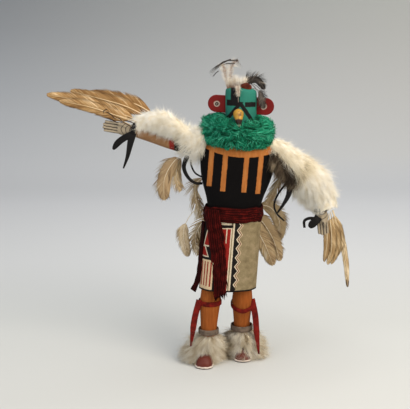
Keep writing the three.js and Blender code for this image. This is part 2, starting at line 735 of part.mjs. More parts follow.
place('kilt', kilt(), FINISH.kiltLeather);
place('sash_belt', belt(), FINISH.redCloth);
place('sash_front', sashFront(), FINISH.redCloth);
place('sash_side', sashSide(), FINISH.redCloth);
placeEach('tail_feather', TAIL.map((feather) => tailFeather(feather)), FINISH.paleFeather);

for (const name of ['right', 'left']) {
  place(`${name}_garter`, garter(GARTERS[name]), FINISH.redLeather);
  place(`${name}_ankle_band`, ankleStrap(ANKLES[name]), FINISH.greyLeather);
  place(`${name}_ankle_fur`, ankleFur(ANKLES[name], GARTERS[name]), FINISH.creamFur);
}

// The origin is the middle of the doll's own box, on the ground
const box = new THREE.Box3().setFromObject(doll);
const middle = box.getCenter(new THREE.Vector3());
doll.children.forEach((mesh) => mesh.geometry.translate(-middle.x, -middle.y, -box.min.z));

export default doll;
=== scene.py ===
import math

import bmesh
import bpy
import numpy as np
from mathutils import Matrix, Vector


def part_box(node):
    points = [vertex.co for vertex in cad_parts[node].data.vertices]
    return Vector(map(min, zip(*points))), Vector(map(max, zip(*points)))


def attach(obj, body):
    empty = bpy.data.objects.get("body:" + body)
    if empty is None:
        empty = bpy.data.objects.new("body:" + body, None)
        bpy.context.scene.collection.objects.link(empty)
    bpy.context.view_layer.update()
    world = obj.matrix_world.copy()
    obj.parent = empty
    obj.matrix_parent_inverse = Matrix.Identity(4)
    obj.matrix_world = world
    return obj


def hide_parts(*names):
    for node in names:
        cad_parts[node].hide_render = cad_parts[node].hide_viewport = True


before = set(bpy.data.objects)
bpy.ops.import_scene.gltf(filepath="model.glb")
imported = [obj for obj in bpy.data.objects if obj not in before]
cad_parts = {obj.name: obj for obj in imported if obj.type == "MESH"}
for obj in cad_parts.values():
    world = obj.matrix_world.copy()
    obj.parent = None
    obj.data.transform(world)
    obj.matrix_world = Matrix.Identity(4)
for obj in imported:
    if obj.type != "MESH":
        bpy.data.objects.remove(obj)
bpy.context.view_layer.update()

# A kachina doll: an eagle dancer carved from light root wood and painted, with rabbit fur, feathers,
# yarn, leather and woven cloth. Points are given in millimetres from the doll's own axis, on the
# ground between its feet, and put() turns them into metres in the frame.
MM = 0.001
head_low, head_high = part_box("head")
HEAD_X = 5.3
AXIS = np.array([(head_low[0] + head_high[0]) / 2 - HEAD_X * MM, (head_low[1] + head_high[1]) / 2, 0])

UP = np.array([0.0, 0.0, 1.0])
FRONT = np.array([0.0, -1.0, 0.0])
LEFTWARD = np.array([1.0, 0.0, 0.0])
SLANT = np.array([1.0, 0.0, 1.0]) / math.sqrt(2)
DOWNWARD = -UP

# Levels and stance, as in the carving
HEM, BELT_LOW, BELT_TOP, NECK, HEAD_TOP = 75, 142, 157, 233, 270.3
LEAN, LEAN_FOOT = 0.075, 165
TILT = math.radians(3.6)
HEAD_RADIUS = 15
TRUNK_SQUARE = 2.4  # the power that squares the rings of the trunk and its dress
RIGHT_LEG = {"top": (-22.6, -1), "ankle": (-25.5, -7), "toe": (-31, -29.6), "toe_out": -0.16}
LEFT_LEG = {"top": (8.5, 0), "ankle": (8.1, 7), "toe": (9, -11.5), "toe_out": 0.02}
LEG_TOP, ANKLE = 88, 30
FOOT_LENGTH = 33


def put(points):
    """Millimetres from the doll's axis, as metres in the frame."""
    return np.asarray(points, dtype=float) * MM + AXIS


def trunk_x(height):
    return LEAN * (np.asarray(height, dtype=float) - LEAN_FOOT)


def dice(name):
    """The piece's own random numbers, the same at each run."""
    return np.random.default_rng(sum(ord(letter) * (n + 1) for n, letter in enumerate(name)))


def shape(name, bm):
    """A bmesh as a finished mesh."""
    mesh = bpy.data.meshes.new(name)
    bm.to_mesh(mesh)
    bm.free()
    return mesh


# Camera, floor and light

CAMERA_AWAY = 750
CAMERA_HEIGHT = 290
CAMERA_SIDE = -29
CAMERA_DOWN = math.radians(10)
PHOTO_WIDTH = 410
FOCAL_PIXELS = 781
SENSOR = 36

camera = bpy.data.objects.new("camera", bpy.data.cameras.new("camera"))
camera.data.sensor_width = SENSOR
camera.data.lens = FOCAL_PIXELS / PHOTO_WIDTH * SENSOR
camera.data.clip_start = 0.01
camera.location = put((CAMERA_SIDE, -CAMERA_AWAY, CAMERA_HEIGHT))
camera.rotation_euler = (math.pi / 2 - CAMERA_DOWN, 0, 0)
bpy.context.collection.objects.link(camera)
bpy.context.scene.camera = camera
bpy.context.scene.view_settings.view_transform = "Standard"


def linear(colour):
    """An sRGB hex colour as linear red, green, blue and alpha."""
    parts = [int(colour[n:n + 2], 16) / 255 for n in (1, 3, 5)]
    return [part / 12.92 if part <= 0.04045 else ((part + 0.055) / 1.055) ** 2.4 for part in parts] + [1]


def live_output(node):
    """The output that a node's settings leave in use."""
    return next(socket for socket in node.outputs if socket.enabled)


def add(tree, kind, inputs=(), stops=(), **settings):
    """Adds a shader node. Inputs are values, hex colours or nodes, by socket name or number."""
    made = tree.nodes.new("ShaderNode" + kind)
    for name, value in settings.items():
        setattr(made, name, value)
    for place, _ in stops[2:]:
        made.color_ramp.elements.new(place)
    for element, (place, colour) in zip(made.color_ramp.elements if stops else (), stops):
        element.position = place
        element.color = linear(colour)
    for key, value in inputs.items() if isinstance(inputs, dict) else enumerate(inputs):
        if isinstance(value, bpy.types.Node):
            value = live_output(value)
        if isinstance(value, bpy.types.NodeSocket):
            tree.links.new(value, made.inputs[key])
        else:
            made.inputs[key].default_value = linear(value) if isinstance(value, str) else value
    return made


def new_finish(name, roughness, specular=0.5):
    """A material with a bare shader. Returns the material, its tree and its shader."""
    material = bpy.data.materials.new(name)
    material.use_nodes = True
    tree = material.node_tree
    shader = tree.nodes["Principled BSDF"]
    shader.inputs["Roughness"].default_value = roughness
    shader.inputs["Specular IOR Level"].default_value = specular
    return material, tree, shader


def wire(tree, shader, colour, height=None, depth=None, strength=None):
    """Gives a shader its colour and, where a height is given, its relief, depth metres deep."""
    tree.links.new(live_output(colour), shader.inputs["Base Color"])
    if height is not None:
        relief = add(tree, "Bump", {"Height": height, "Distance": depth, "Strength": strength})
        tree.links.new(relief.outputs[0], shader.inputs["Normal"])


def doll_millimetres(tree):
    """Object coordinates in millimetres from the doll's axis."""
    place = add(tree, "TexCoord").outputs["Object"]
    shift = [-part / MM for part in AXIS]
    return add(tree, "Mapping", {"Vector": place, "Location": shift, "Scale": [1 / MM] * 3})


# The paper sweep, in metres: its whole run, its flat part, the bend's radius and angle, its near edge, its
# half width, and how far it lies under the doll. Its colours change nearer, higher and to a side, as painted light and
# shade.
SWEEP_RUN, SWEEP_FLOOR, SWEEP_BEND, SWEEP_TURN = 4.8, 2.6, 1.1, 1.35
SWEEP_NEAR, SWEEP_HALF, SWEEP_UNDER = -1.5, 5, 0.2 * MM
NEAR_TO_FAR, LOW_TO_HIGH, LEFT_TO_RIGHT, FLOOR_TO_WALL = (-0.3, 1.1), (0.0, 0.6), (-0.75, 0.75), (0.0, 0.05)
# The paper's painted light and shade: the floor's by distance, the wall's by height on its left and right.
FLOOR_PAINTED_FALLOFF = [(0.1, "#c9c9c4"), (0.3, "#cccdc9"), (0.5, "#d8d9d8"), (0.85, "#e2e3e4")]
LEFT_WALL_PAINTED_FALLOFF = [(0.0, "#e2e4e6"), (0.35, "#c9cccf"), (0.7, "#b0b3b6"), (1.0, "#a0a3a6")]
RIGHT_WALL_PAINTED_FALLOFF = [(0.0, "#e9e8e4"), (0.35, "#e2e0da"), (0.7, "#d8d7d0"), (1.0, "#d2d3cb")]


def backdrop():
    """A pale matte paper sweep, floor in front and curving up far behind. Its colour is painted shade where the studio
    light falls off: darker near the front of the floor, up the wall and towards its left.
    """
    bm = bmesh.new()
    bmesh.ops.create_grid(bm, x_segments=2, y_segments=60, size=1)
    for vert in bm.verts:
        run = (vert.co.y + 1) * SWEEP_RUN / 2
        bend = max(0.0, run - SWEEP_FLOOR)
        turn = min(bend / SWEEP_BEND, SWEEP_TURN)
        rest = max(0.0, bend - SWEEP_BEND * SWEEP_TURN)
        vert.co.x *= SWEEP_HALF
        vert.co.y = (SWEEP_NEAR + min(run, SWEEP_FLOOR) + SWEEP_BEND * math.sin(turn)
                     + rest * math.cos(SWEEP_TURN))
        vert.co.z = SWEEP_BEND * (1 - math.cos(turn)) + rest * math.sin(SWEEP_TURN) - SWEEP_UNDER
    mesh = shape("floor_sweep", bm)
    mesh.shade_smooth()
    material, tree, shader = new_finish("matte_studio_paper", 0.9)
    across, away, up = add(tree, "SeparateXYZ", [add(tree, "TexCoord").outputs["Object"]]).outputs
    floor = add(tree, "ValToRGB", [add(tree, "MapRange", [away, *NEAR_TO_FAR])], stops=FLOOR_PAINTED_FALLOFF)
    high = add(tree, "MapRange", [up, *LOW_TO_HIGH])
    left = add(tree, "ValToRGB", [high], stops=LEFT_WALL_PAINTED_FALLOFF)
    right = add(tree, "ValToRGB", [high], stops=RIGHT_WALL_PAINTED_FALLOFF)
    side = add(tree, "MapRange", [across, *LEFT_TO_RIGHT])
    wall = add(tree, "Mix", {0: side, 6: left, 7: right}, data_type="RGBA")
    rise = add(tree, "MapRange", [up, *FLOOR_TO_WALL])
    wire(tree, shader, add(tree, "Mix", {0: rise, 6: floor, 7: wall}, data_type="RGBA"))
    mesh.materials.append(material)
    sweep = bpy.data.objects.new("floor_sweep", mesh)
    bpy.context.collection.objects.link(sweep)


def soft_light(name, place, target, size, power, colour):
    """A square studio light that points at its target, in metres and watts."""
    light = bpy.data.lights.new(name, "AREA")
    light.size = size
    light.energy = power
    light.color = linear(colour)[:3]
    lamp = bpy.data.objects.new(name, light)
    lamp.location = place
    x, y, z = np.asarray(target) - np.asarray(place)
    lamp.rotation_euler = (math.atan2(math.hypot(x, y), -z), 0, math.atan2(-x, y))
    bpy.context.collection.objects.link(lamp)


backdrop()
soft_light("key", (0.75, -0.8, 0.8), (0, 0, 0.15), 0.9, 15, "#fff4e6")
soft_light("fill", (-0.9, -0.9, 0.5), (0, 0, 0.15), 0.9, 5.5, "#f2f5ff")
soft_light("overhead", (0.1, -0.1, 1.3), (0, 0, 0.1), 1.0, 8.5, "#ffffff")
soft_light("paper_light", (0.9, 0.7, 1.5), (0.3, 1.7, 0.15), 1.0, 4, "#ffffff")
studio = bpy.data.worlds.new("studio")
studio.use_nodes = True
room_light = studio.node_tree.nodes["Background"].inputs
room_light["Color"].default_value = linear("#dfe3e8")
room_light["Strength"].default_value = 0.42
bpy.context.scene.world = studio


# Shapes

# How many points a route has on each span, and how far to each side it looks for its direction
SPAN_STEPS, LOOK = 24, 0.02


class Route:
    """A smooth curve through points, walked by share of its length."""

    def __init__(self, points):
        known = np.asarray(points, dtype=float)
        known = np.vstack([2 * known[0] - known[1], known, 2 * known[-1] - known[-2]])
        gaps = np.maximum(np.linalg.norm(np.diff(known, axis=0), axis=1), 1e-4) ** 0.5
        knots = np.concatenate([[0], np.cumsum(gaps)])
        walk = []
        for n in range(1, len(known) - 2):
            t0, t1, t2, t3 = knots[n - 1:n + 3]
            p0, p1, p2, p3 = known[n - 1:n + 3]
            t = np.linspace(t1, t2, SPAN_STEPS, endpoint=False)[:, None]
            a1 = (t1 - t) / (t1 - t0) * p0 + (t - t0) / (t1 - t0) * p1
            a2 = (t2 - t) / (t2 - t1) * p1 + (t - t1) / (t2 - t1) * p2
            a3 = (t3 - t) / (t3 - t2) * p2 + (t - t2) / (t3 - t2) * p3
            b1 = (t2 - t) / (t2 - t0) * a1 + (t - t0) / (t2 - t0) * a2
            b2 = (t3 - t) / (t3 - t1) * a2 + (t - t1) / (t3 - t1) * a3
            walk.append((t2 - t) / (t2 - t1) * b1 + (t - t1) / (t2 - t1) * b2)
        self.walk = np.vstack(walk + [known[-2:-1]])
        steps = np.linalg.norm(np.diff(self.walk, axis=0), axis=1)
        self.length = steps.sum()
        self.shares = np.concatenate([[0], np.cumsum(steps)]) / self.length

    def at(self, share):
        share = np.clip(share, 0, 1)
        return np.stack([np.interp(share, self.shares, part) for part in self.walk.T], axis=-1)

    def along(self, share):
        share = np.asarray(share)
        return unit(self.at(np.minimum(share + LOOK, 1)) - self.at(np.maximum(share - LOOK, 0)))


def unit(vectors):
    return vectors / np.maximum(np.linalg.norm(vectors, axis=-1, keepdims=True), 1e-9)


def rounded(angle):
    return np.cos(angle), np.sin(angle)


def squarish(power):
    """Round at 2, and squarer with a higher power."""
    def outline(angle):
        x, y = np.cos(angle), np.sin(angle)
        return np.sign(x) * np.abs(x) ** (2 / power), np.sign(y) * np.abs(y) ** (2 / power)
    return outline


def loaf(angle):
    """Flat below and rounded above, like a shoe from the front."""
    x, y = np.cos(angle), np.sin(angle)
    return x * np.where(y < 0, 1 - 0.12 * np.abs(y), 1), np.where(y > 0.01, 2 * np.abs(y) ** 0.7 - 1, -1)


class Tube:
    """A round body along a route, with half extents (across, lift) at evenly spaced places."""

    def __init__(self, points, extents, up=UP):
        self.route = Route(points)
        self.extents = Route([(n, *pair) for n, pair in enumerate(extents)])
        self.up = up

    def surface(self, share, angle, scale=1.0):
        along = self.route.along(share)
        across = unit(np.cross(along, self.up))
        _, wide, tall = np.moveaxis(self.extents.at(share), -1, 0)
        x, y = rounded(angle)
        return (self.route.at(share) + across * (wide * x * scale)[..., None]
                + np.cross(across, along) * (tall * y * scale)[..., None])


class Stack:
    """A body of level rings. Levels are (height, half width, half depth), and middle(height) places them."""

    def __init__(self, levels, middle, tilt=0.0, outline=rounded):
        self.levels = Route(levels)
        self.middle = middle
        self.tilt = tilt
        self.outline = outline

    def surface(self, share, angle, scale=1.0):
        height, wide, deep = np.moveaxis(self.levels.at(share), -1, 0)
        middle_x, middle_y = self.middle(height)
        x, y = self.outline(angle)
        across = wide * x * scale
        return np.stack([middle_x + across * math.cos(self.tilt), middle_y - deep * y * scale,
                         height - across * math.sin(self.tilt)], axis=-1)


def loft(bm, body, sides, rows, cap=True, scale=1.0):
    """A skin over a body, extruded ring by ring and closed at both ends."""
    angle = bm.verts.layers.float.get("turn") or bm.verts.layers.float.new("turn")
    ring = bmesh.ops.create_circle(bm, cap_ends=False, segments=sides, radius=1)["verts"]
    for vert in ring:
        vert[angle] = math.atan2(vert.co.y, vert.co.x)
    rings = []
    for share in np.linspace(0, 1, rows):
        if rings:
            rim = set(ring)
            edges = dict.fromkeys(edge for vert in ring for edge in vert.link_edges
                                  if edge.other_vert(vert) in rim)
            moved = bmesh.ops.extrude_edge_only(bm, edges=list(edges))["geom"]
            ring = [part for part in moved if isinstance(part, bmesh.types.BMVert)]
        turns = np.array([vert[angle] for vert in ring])
        for vert, place in zip(ring, put(body.surface(np.full(len(ring), share), turns, scale))):
            vert.co = place
        rings.append(ring)
    if cap:
        for end in (rings[0], rings[-1]):
            bmesh.ops.contextual_create(bm, geom=end)
    bmesh.ops.recalc_face_normals(bm, faces=bm.faces)


def show(name, form, material, node, smooth=True):
    """Makes the finished piece that stands for its CAD node, from a bmesh or from parts to gather."""
    mesh = gathered(name, form) if isinstance(form, list) else shape(name, form)
    if smooth:
        mesh.shade_smooth()
    mesh.materials.append(material)
    piece = bpy.data.objects.new(name, mesh)
    bpy.context.collection.objects.link(piece)
    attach(piece, "root")
    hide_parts(node)
    return piece


def lofted(name, lofts, material, node):
    """A piece made of lofted bodies: each is a body, its sides and its rows."""
    bm = bmesh.new()
    for loft_of in lofts:
        loft(bm, *loft_of)
    return show(name, bm, material, node)


# Strands: hair, yarn, barbs and fringe are copies of one thin form, each bent along its own curve

def strand_form(sides, rows):
    """One strand up +Z from 0 to 1, with its end closed to a point, as its corners and its triangles."""
    bm = bmesh.new()
    bmesh.ops.create_cone(bm, cap_ends=True, segments=sides, radius1=1, radius2=0, depth=1)
    bmesh.ops.translate(bm, verts=bm.verts, vec=(0, 0, 0.5))
    for row in range(1, rows):
        everything = bm.verts[:] + bm.edges[:] + bm.faces[:]
        bmesh.ops.bisect_plane(bm, geom=everything, plane_co=(0, 0, row / rows), plane_no=(0, 0, 1))
    bmesh.ops.triangulate(bm, faces=bm.faces)
    bm.verts.index_update()
    corners = np.array([vert.co[:] for vert in bm.verts])
    faces = np.array([[vert.index for vert in face.verts] for face in bm.faces])
    bm.free()
    corners[:, :2] /= np.maximum(1 - corners[:, 2:], 1e-3)
    return corners, faces


HAIR = strand_form(3, 2)
YARN = strand_form(3, 3)


def strands(form, root, middle, tip, width, tone, thickness=None, face=None, blunt=1.0, outward=None):
    """Strands from root over middle to tip, all in millimetres. Returns corners, faces, tone, reach and
    normals. Strands that lie together in a coat get normals that lean outward with it."""
    corners, faces = form
    count = len(root)
    t = corners[:, 2][None, :, None]
    path = (1 - t) ** 2 * root[:, None] + 2 * t * (1 - t) * middle[:, None] + t ** 2 * tip[:, None]
    along = unit(2 * (1 - t) * (middle - root)[:, None] + 2 * t * (tip - middle)[:, None])
    face = np.broadcast_to(UP, root.shape) if face is None else face
    side = unit(np.cross(along, face[:, None]))
    other = np.cross(along, side)
    width = np.broadcast_to(np.asarray(width, dtype=float), (count,))
    thickness = width if thickness is None else np.full(count, thickness)
    swell = (1 - t[..., 0] ** blunt) ** (0.5 if blunt > 1 else 1) * 0.96 + 0.04
    path = (path + side * (corners[:, 0] * swell * width[:, None])[..., None]
            + other * (corners[:, 1] * swell * thickness[:, None])[..., None])
    end = (corners[:, 2] > 0.99)[None, :, None]
    normal = side * corners[:, 0, None] + other * corners[:, 1, None] + along * end
    if outward is not None:
        normal = normal * 0.5 + outward[:, None]
    offset = (np.arange(count) * len(corners))[:, None, None]
    return (path.reshape(-1, 3), (faces[None] + offset).reshape(-1, 3),
            np.repeat(tone, len(corners)), np.tile(corners[:, 2], count), unit(normal).reshape(-1, 3))


def lofted_part(body, sides, rows, tone, reach, scale=1.0):
    """A lofted body as corners, faces, tone, reach and normals, to go in one mesh with strands."""
    bm = bmesh.new()
    loft(bm, body, sides, rows, scale=scale)
    bmesh.ops.triangulate(bm, faces=bm.faces)
    bm.normal_update()
    bm.verts.index_update()
    corners = (np.array([vert.co[:] for vert in bm.verts]) - AXIS) / MM
    normals = np.array([vert.normal[:] for vert in bm.verts])
    faces = np.array([[vert.index for vert in face.verts] for face in bm.faces])
    bm.free()
    return corners, faces, np.full(len(corners), tone), np.full(len(corners), reach), normals


def gathered(name, parts):
    """One mesh from several parts, with tone and reach kept as attributes."""
    corners = np.vstack([part[0] for part in parts])
    starts = np.cumsum([0] + [len(part[0]) for part in parts[:-1]])
    faces = np.vstack([part[1] + start for part, start in zip(parts, starts)])
    mesh = bpy.data.meshes.new(name)
    mesh.vertices.add(len(corners))
    mesh.vertices.foreach_set("co", put(corners).ravel())
    mesh.loops.add(faces.size)
    mesh.loops.foreach_set("vertex_index", faces.ravel().astype(np.int32))
    mesh.polygons.add(len(faces))
    mesh.polygons.foreach_set("loop_start", np.arange(len(faces), dtype=np.int32) * 3)
    mesh.update(calc_edges=True)
    for label, place in (("tone", 2), ("reach", 3)):
        values = np.concatenate([part[place] for part in parts]).astype(np.float32)
        mesh.attributes.new(label, "FLOAT", "POINT").data.foreach_set("value", values)
    mesh.shade_smooth()
    mesh.normals_split_custom_set_from_vertices(np.vstack([part[4] for part in parts]))
    return mesh


def lie(body, share, angle, scale):
    """Places on a body, the way its skin runs there, and its outward side."""
    here = body.surface(share, angle, scale)
    ahead = body.surface(np.minimum(share + 0.01, 1), angle, scale)
    behind = body.surface(np.maximum(share - 0.01, 0), angle, scale)
    return here, unit(ahead - behind), unit(body.surface(share, angle, scale * 1.02) - here)


def locks(draw, points, leads):
    """Gathers strands in locks: for each, the number of the one that leads it, the nearest of the leads."""
    lead = draw.choice(len(points), leads, replace=False)
    nearness = 2 * points @ points[lead].T - (points[lead] ** 2).sum(1)[None]
    return lead[np.argmax(nearness, axis=1)]


def any_side(draw, count):
    """A random direction for each strand to face."""
    return unit(draw.normal(0, 1, (count, 3)))


# Finishes. A pattern's scale is the number of its features in a millimetre.

def above(tree, value, start, soft=0.25):
    """0 below a height and 1 above it, across the soft edge of a brush stroke."""
    return add(tree, "MapRange", [value, start - soft, start + soft])


def below(tree, value, end, soft=0.25):
    """1 below a height and 0 above it."""
    return add(tree, "MapRange", [value, end - soft, end + soft, 1.0, 0.0])


def band(tree, value, low, high, soft=0.25):
    """1 between two heights."""
    edges = [above(tree, value, low, soft), above(tree, value, high, soft)]
    return add(tree, "Math", edges, operation="SUBTRACT")


def both(tree, first, second):
    """Where two masks meet."""
    return add(tree, "Math", [first, second], operation="MULTIPLY")


def along_slope(tree, value, slope, other):
    """value + slope * other"""
    return add(tree, "Math", {0: other, 1: slope, 2: value}, operation="MULTIPLY_ADD")


def coats(tree, ground, layers):
    """Coats of paint over a ground: each is a colour and the mask that it covers."""
    for colour, mask in layers:
        ground = add(tree, "Mix", {0: mask, 6: ground, 7: colour}, data_type="RGBA")
    return ground


def painted_wood(name, paint, roughness, specular):
    """Thin matte paint brushed on carved root wood. The eye sees uneven cover in patches 11 mm across, brush
    streaks 0.6 mm wide and 8 mm long down the piece, edges that wander by half a millimetre, and the soft
    ripple of the knife. paint(tree, x, y, z) gives the colour by place."""
    material, tree, shader = new_finish(name, roughness, specular)
    place = doll_millimetres(tree)
    wander = add(tree, "TexNoise", {"Vector": place, "Scale": 0.35, "Detail": 3})
    shaken = add(tree, "VectorMath", [wander.outputs["Color"], (0.5, 0.5, 0.5)], operation="SUBTRACT")
    hand = add(tree, "VectorMath", {0: shaken, 1: (1.1, 1.1, 1.1), 2: place}, operation="MULTIPLY_ADD")
    colour = paint(tree, *add(tree, "SeparateXYZ", [hand]).outputs)
    brushed = add(tree, "Mapping", {"Vector": place, "Scale": (1.6, 1.6, 0.12)})
    streaks = add(tree, "TexNoise", {"Vector": brushed, "Scale": 1.0, "Detail": 4, "Roughness": 0.65})
    blotch = add(tree, "TexNoise", {"Vector": place, "Scale": 0.09, "Detail": 3})
    uneven = add(tree, "Math", {0: streaks, 1: 0.5, 2: 0.5}, operation="MULTIPLY_ADD")
    uneven = add(tree, "Math", {0: blotch, 1: 0.55, 2: uneven}, operation="MULTIPLY_ADD")
    strength = add(tree, "MapRange", [uneven, 0.8, 1.3, 0.8, 1.16])
    colour = add(tree, "VectorMath", {0: colour, "Scale": strength}, operation="SCALE")
    gloss = add(tree, "MapRange", [streaks, 0.3, 0.7, roughness - 0.08, roughness + 0.12])
    tree.links.new(gloss.outputs[0], shader.inputs["Roughness"])
    grain = add(tree, "Math", {0: blotch, 1: 1.5, 2: streaks}, operation="MULTIPLY_ADD")
    wire(tree, shader, colour, grain, 0.00035, 0.5)
    return material


def strand_finish(name, ramp, at_root, roughness, spread=0.35):
    """Strands whose colour runs from root to tip, and differs from strand to strand and in patches 11 mm
    across. The ramp goes from the darkest strand to the palest."""
    material, tree, shader = new_finish(name, roughness, 0.15)
    tone = add(tree, "Attribute", attribute_name="tone").outputs["Fac"]
    reach = add(tree, "Attribute", attribute_name="reach").outputs["Fac"]
    patches = add(tree, "TexNoise", {"Vector": doll_millimetres(tree), "Scale": 0.09, "Detail": 3})
    mixed = add(tree, "Math", {0: patches, 1: spread, 2: tone}, operation="MULTIPLY_ADD")
    where = add(tree, "MapRange", [mixed, 0.5 * spread, 1 + 0.5 * spread])
    colour = add(tree, "ValToRGB", [where], stops=ramp)
    # Towards its root each strand takes the at_root colour: the undercoat's own colour in some finishes, painted shade
    # deep in the coat in others.
    root = add(tree, "MapRange", [reach, 0.0, 0.45, 1.0, 0.0])
    wire(tree, shader, coats(tree, colour, [(at_root, root)]))
    return material


def leather(name, colour, worn, roughness, specular=0.1):
    """Thin garment leather: pebbled by pores 0.7 mm apart, and rubbed lighter in patches 5 mm across."""
    material, tree, shader = new_finish(name, roughness, specular)
    place = doll_millimetres(tree)
    pores = add(tree, "TexVoronoi", {"Vector": place, "Scale": 1.44}, feature="DISTANCE_TO_EDGE")
    rubbed = add(tree, "TexNoise", {"Vector": place, "Scale": 0.22, "Detail": 4})
    tint = add(tree, "ValToRGB", [rubbed], stops=[(0.35, colour), (0.75, worn)])
    grain = add(tree, "Math", {0: rubbed, 1: 1.2, 2: pores}, operation="MULTIPLY_ADD")
    wire(tree, shader, tint, grain, 0.0003, 0.4)
    return material


# The paints, and in millimetres the yoke with its four stripes: each stripe's middle and lower end
BLACK, SKIN, TURQUOISE = "#090707", "#8f4d20", "#257362"
YOKE_MIDDLE, YOKE_LOW, YOKE_SAG = 10.0, 205.6, -0.0055
STRIPES = [(-39.4, 177.6), (-26.2, 173.3), (-6.0, 172.3), (7.7, 170.4)]
STRIPE_HALF, STRIPE_LEAN, STRIPE_TOP = 2.35, -0.08, 212
# The yoke and its stripes get a copy of the skin colour made paler as painted light, as on the lit top of the chest.
YOKE_PAINTED_LIGHT = (1.42, 1.8, 2.2)  # how much paler the skin colour is on the yoke than on the legs


def body_paint(tree, x, y, z):
    """Black trunk, a skin-coloured yoke with four stripes hanging from it, and skin-coloured legs. The yoke and
    stripes take the skin colour made paler, as painted light.
    """
    aside = add(tree, "Math", [x, YOKE_MIDDLE], operation="SUBTRACT")
    edge = along_slope(tree, z, YOKE_SAG, add(tree, "Math", [aside, aside], operation="MULTIPLY"))
    across = along_slope(tree, x, STRIPE_LEAN, z)
    long = add(tree, "CombineXYZ", [x, y, add(tree, "Math", [z, 0.1], operation="MULTIPLY")])
    streak = add(tree, "TexNoise", {"Vector": long, "Scale": 0.55, "Detail": 3})
    skin = add(tree, "ValToRGB", [streak], stops=[(0.25, "#83461d"), (0.5, SKIN), (0.8, "#9a5b2b")])
    lit_skin = add(tree, "VectorMath", [skin, YOKE_PAINTED_LIGHT], operation="MULTIPLY")
    layers = [(lit_skin, above(tree, edge, YOKE_LOW))]
    for middle, bottom in STRIPES:
        stripe = band(tree, across, middle - STRIPE_HALF, middle + STRIPE_HALF)
        layers.append((lit_skin, both(tree, stripe, band(tree, z, bottom, STRIPE_TOP))))
    return coats(tree, BLACK, [*layers, (skin, below(tree, z, HEM + 2, 0.5))])


def head_paint(tree, x, y, z):
    """Turquoise case mask: a black bar down the forehead, black eyes and a black inverted V over the beak."""
    front = below(tree, y, -2.5, 0.5)
    marks = [both(tree, band(tree, x, -4.8, 3.6), above(tree, z, 256.7))]
    for left, right, low, high in ((-8.3, 3.4, 253.9, 259.5), (8.4, 18.7, 252.8, 257.4)):
        marks.append(both(tree, band(tree, x, left, right), band(tree, z, low, high)))
    for slope, middle in ((-0.81, -203.7), (0.69, 180.9)):
        leg = band(tree, along_slope(tree, x, slope, z), middle - 2.2, middle + 2.2)
        marks.append(both(tree, leg, below(tree, z, 257.6)))
    return coats(tree, TURQUOISE, [(BLACK, both(tree, mark, front)) for mark in marks])


def ear_paint(centre):
    def paint(tree, x, y, z):
        """Dark red with a pale ring, a black dot in it and a pale spot in that."""
        place = add(tree, "CombineXYZ", [x, 0.0, z])
        away = add(tree, "VectorMath", [place, (centre[0], 0.0, centre[1])], operation="DISTANCE").outputs["Value"]
        return coats(tree, "#6c0c0a", [("#a39184", below(tree, away, 2.9)), ("#1c1210", below(tree, away, 1.75)),
                                       ("#a39184", below(tree, away, 0.45, 0.2))])
    return paint


def beak_paint(tree, x, y, z):
    """Ochre, stained on its left side, with a dark red-brown lower end under a pale band, which is a painted
    highlight.
    """
    lower = below(tree, along_slope(tree, z, 0.3, y), 234.6, 0.6)
    place = add(tree, "CombineXYZ", [x, y, z])
    stain = add(tree, "TexNoise", {"Vector": place, "Scale": 0.42, "Detail": 3})
    worn = both(tree, above(tree, stain, 0.56, 0.06), above(tree, x, 1.5, 2.5))
    return coats(tree, "#b98a2e", [("#5d3d16", worn), ("#2a120b", lower),
                                   # The pale band across the hook is a painted highlight.
                                   ("#a98474", band(tree, z, 235.4, 237.0, 0.4))])


def measured(tree, x, z, way, start):
    """How far a place lies along a way, from its start. Both are given as across and up."""
    across = add(tree, "Math", [x, way[0]], operation="MULTIPLY")
    length = along_slope(tree, across, way[1], z)
    return add(tree, "Math", [length, start[0] * way[0] + start[1] * way[1]], operation="SUBTRACT")


def hand_lines(tree, x, z, palm):
    """Dark lines between the fingers and a few across the back of the hand."""
    (kx, _, kz), (tx, _, tz) = palm["knuckles"], palm["tips"]
    length = math.hypot(tx - kx, tz - kz)
    cos, sin = (tx - kx) / length, (tz - kz) / length
    run, across = (measured(tree, x, z, way, (kx, kz)) for way in ((cos, sin), (-sin, cos)))
    gap = add(tree, "Math", [across, FINGER_SPACING / 2], operation="PINGPONG")
    gaps = both(tree, below(tree, gap, 0.42, 0.2), above(tree, run, -1.0))
    bend = add(tree, "Math", [across, across], operation="MULTIPLY")
    fold = add(tree, "Math", [along_slope(tree, run, 0.12, bend), 2.1], operation="PINGPONG")
    back = both(tree, below(tree, run, -3.0), above(tree, run, -15.0))
    return add(tree, "Math", [gaps, both(tree, below(tree, fold, 0.34, 0.15), back)], operation="MAXIMUM")


def arm_paint(palm, axis, black_to, hand_from):
    def paint(tree, x, y, z):
        """Black upper arm with a red band, bare skin on the forearm, and a silvery hand with dark lines."""
        run = add(tree, "Math", [{"x": x, "z": z}[axis], -1.0], operation="MULTIPLY")
        hand = above(tree, run, hand_from)
        return coats(tree, "#83603f", [
            (BLACK, below(tree, run, black_to, 0.5)), ("#7a1c14", band(tree, run, black_to, black_to + 4.5)),
            ("#a0927b", hand), ("#2f261e", both(tree, hand_lines(tree, x, z, palm), hand))])
    return paint


def moccasin_paint(tree, x, y, z):
    """Red-brown uppers over a pale rawhide sole, which is dark where it meets the floor."""
    return coats(tree, "#5e2417", [("#d9cbbd", below(tree, z, 2.2, 0.2)), ("#3a231b", below(tree, z, 0.9, 0.2))])


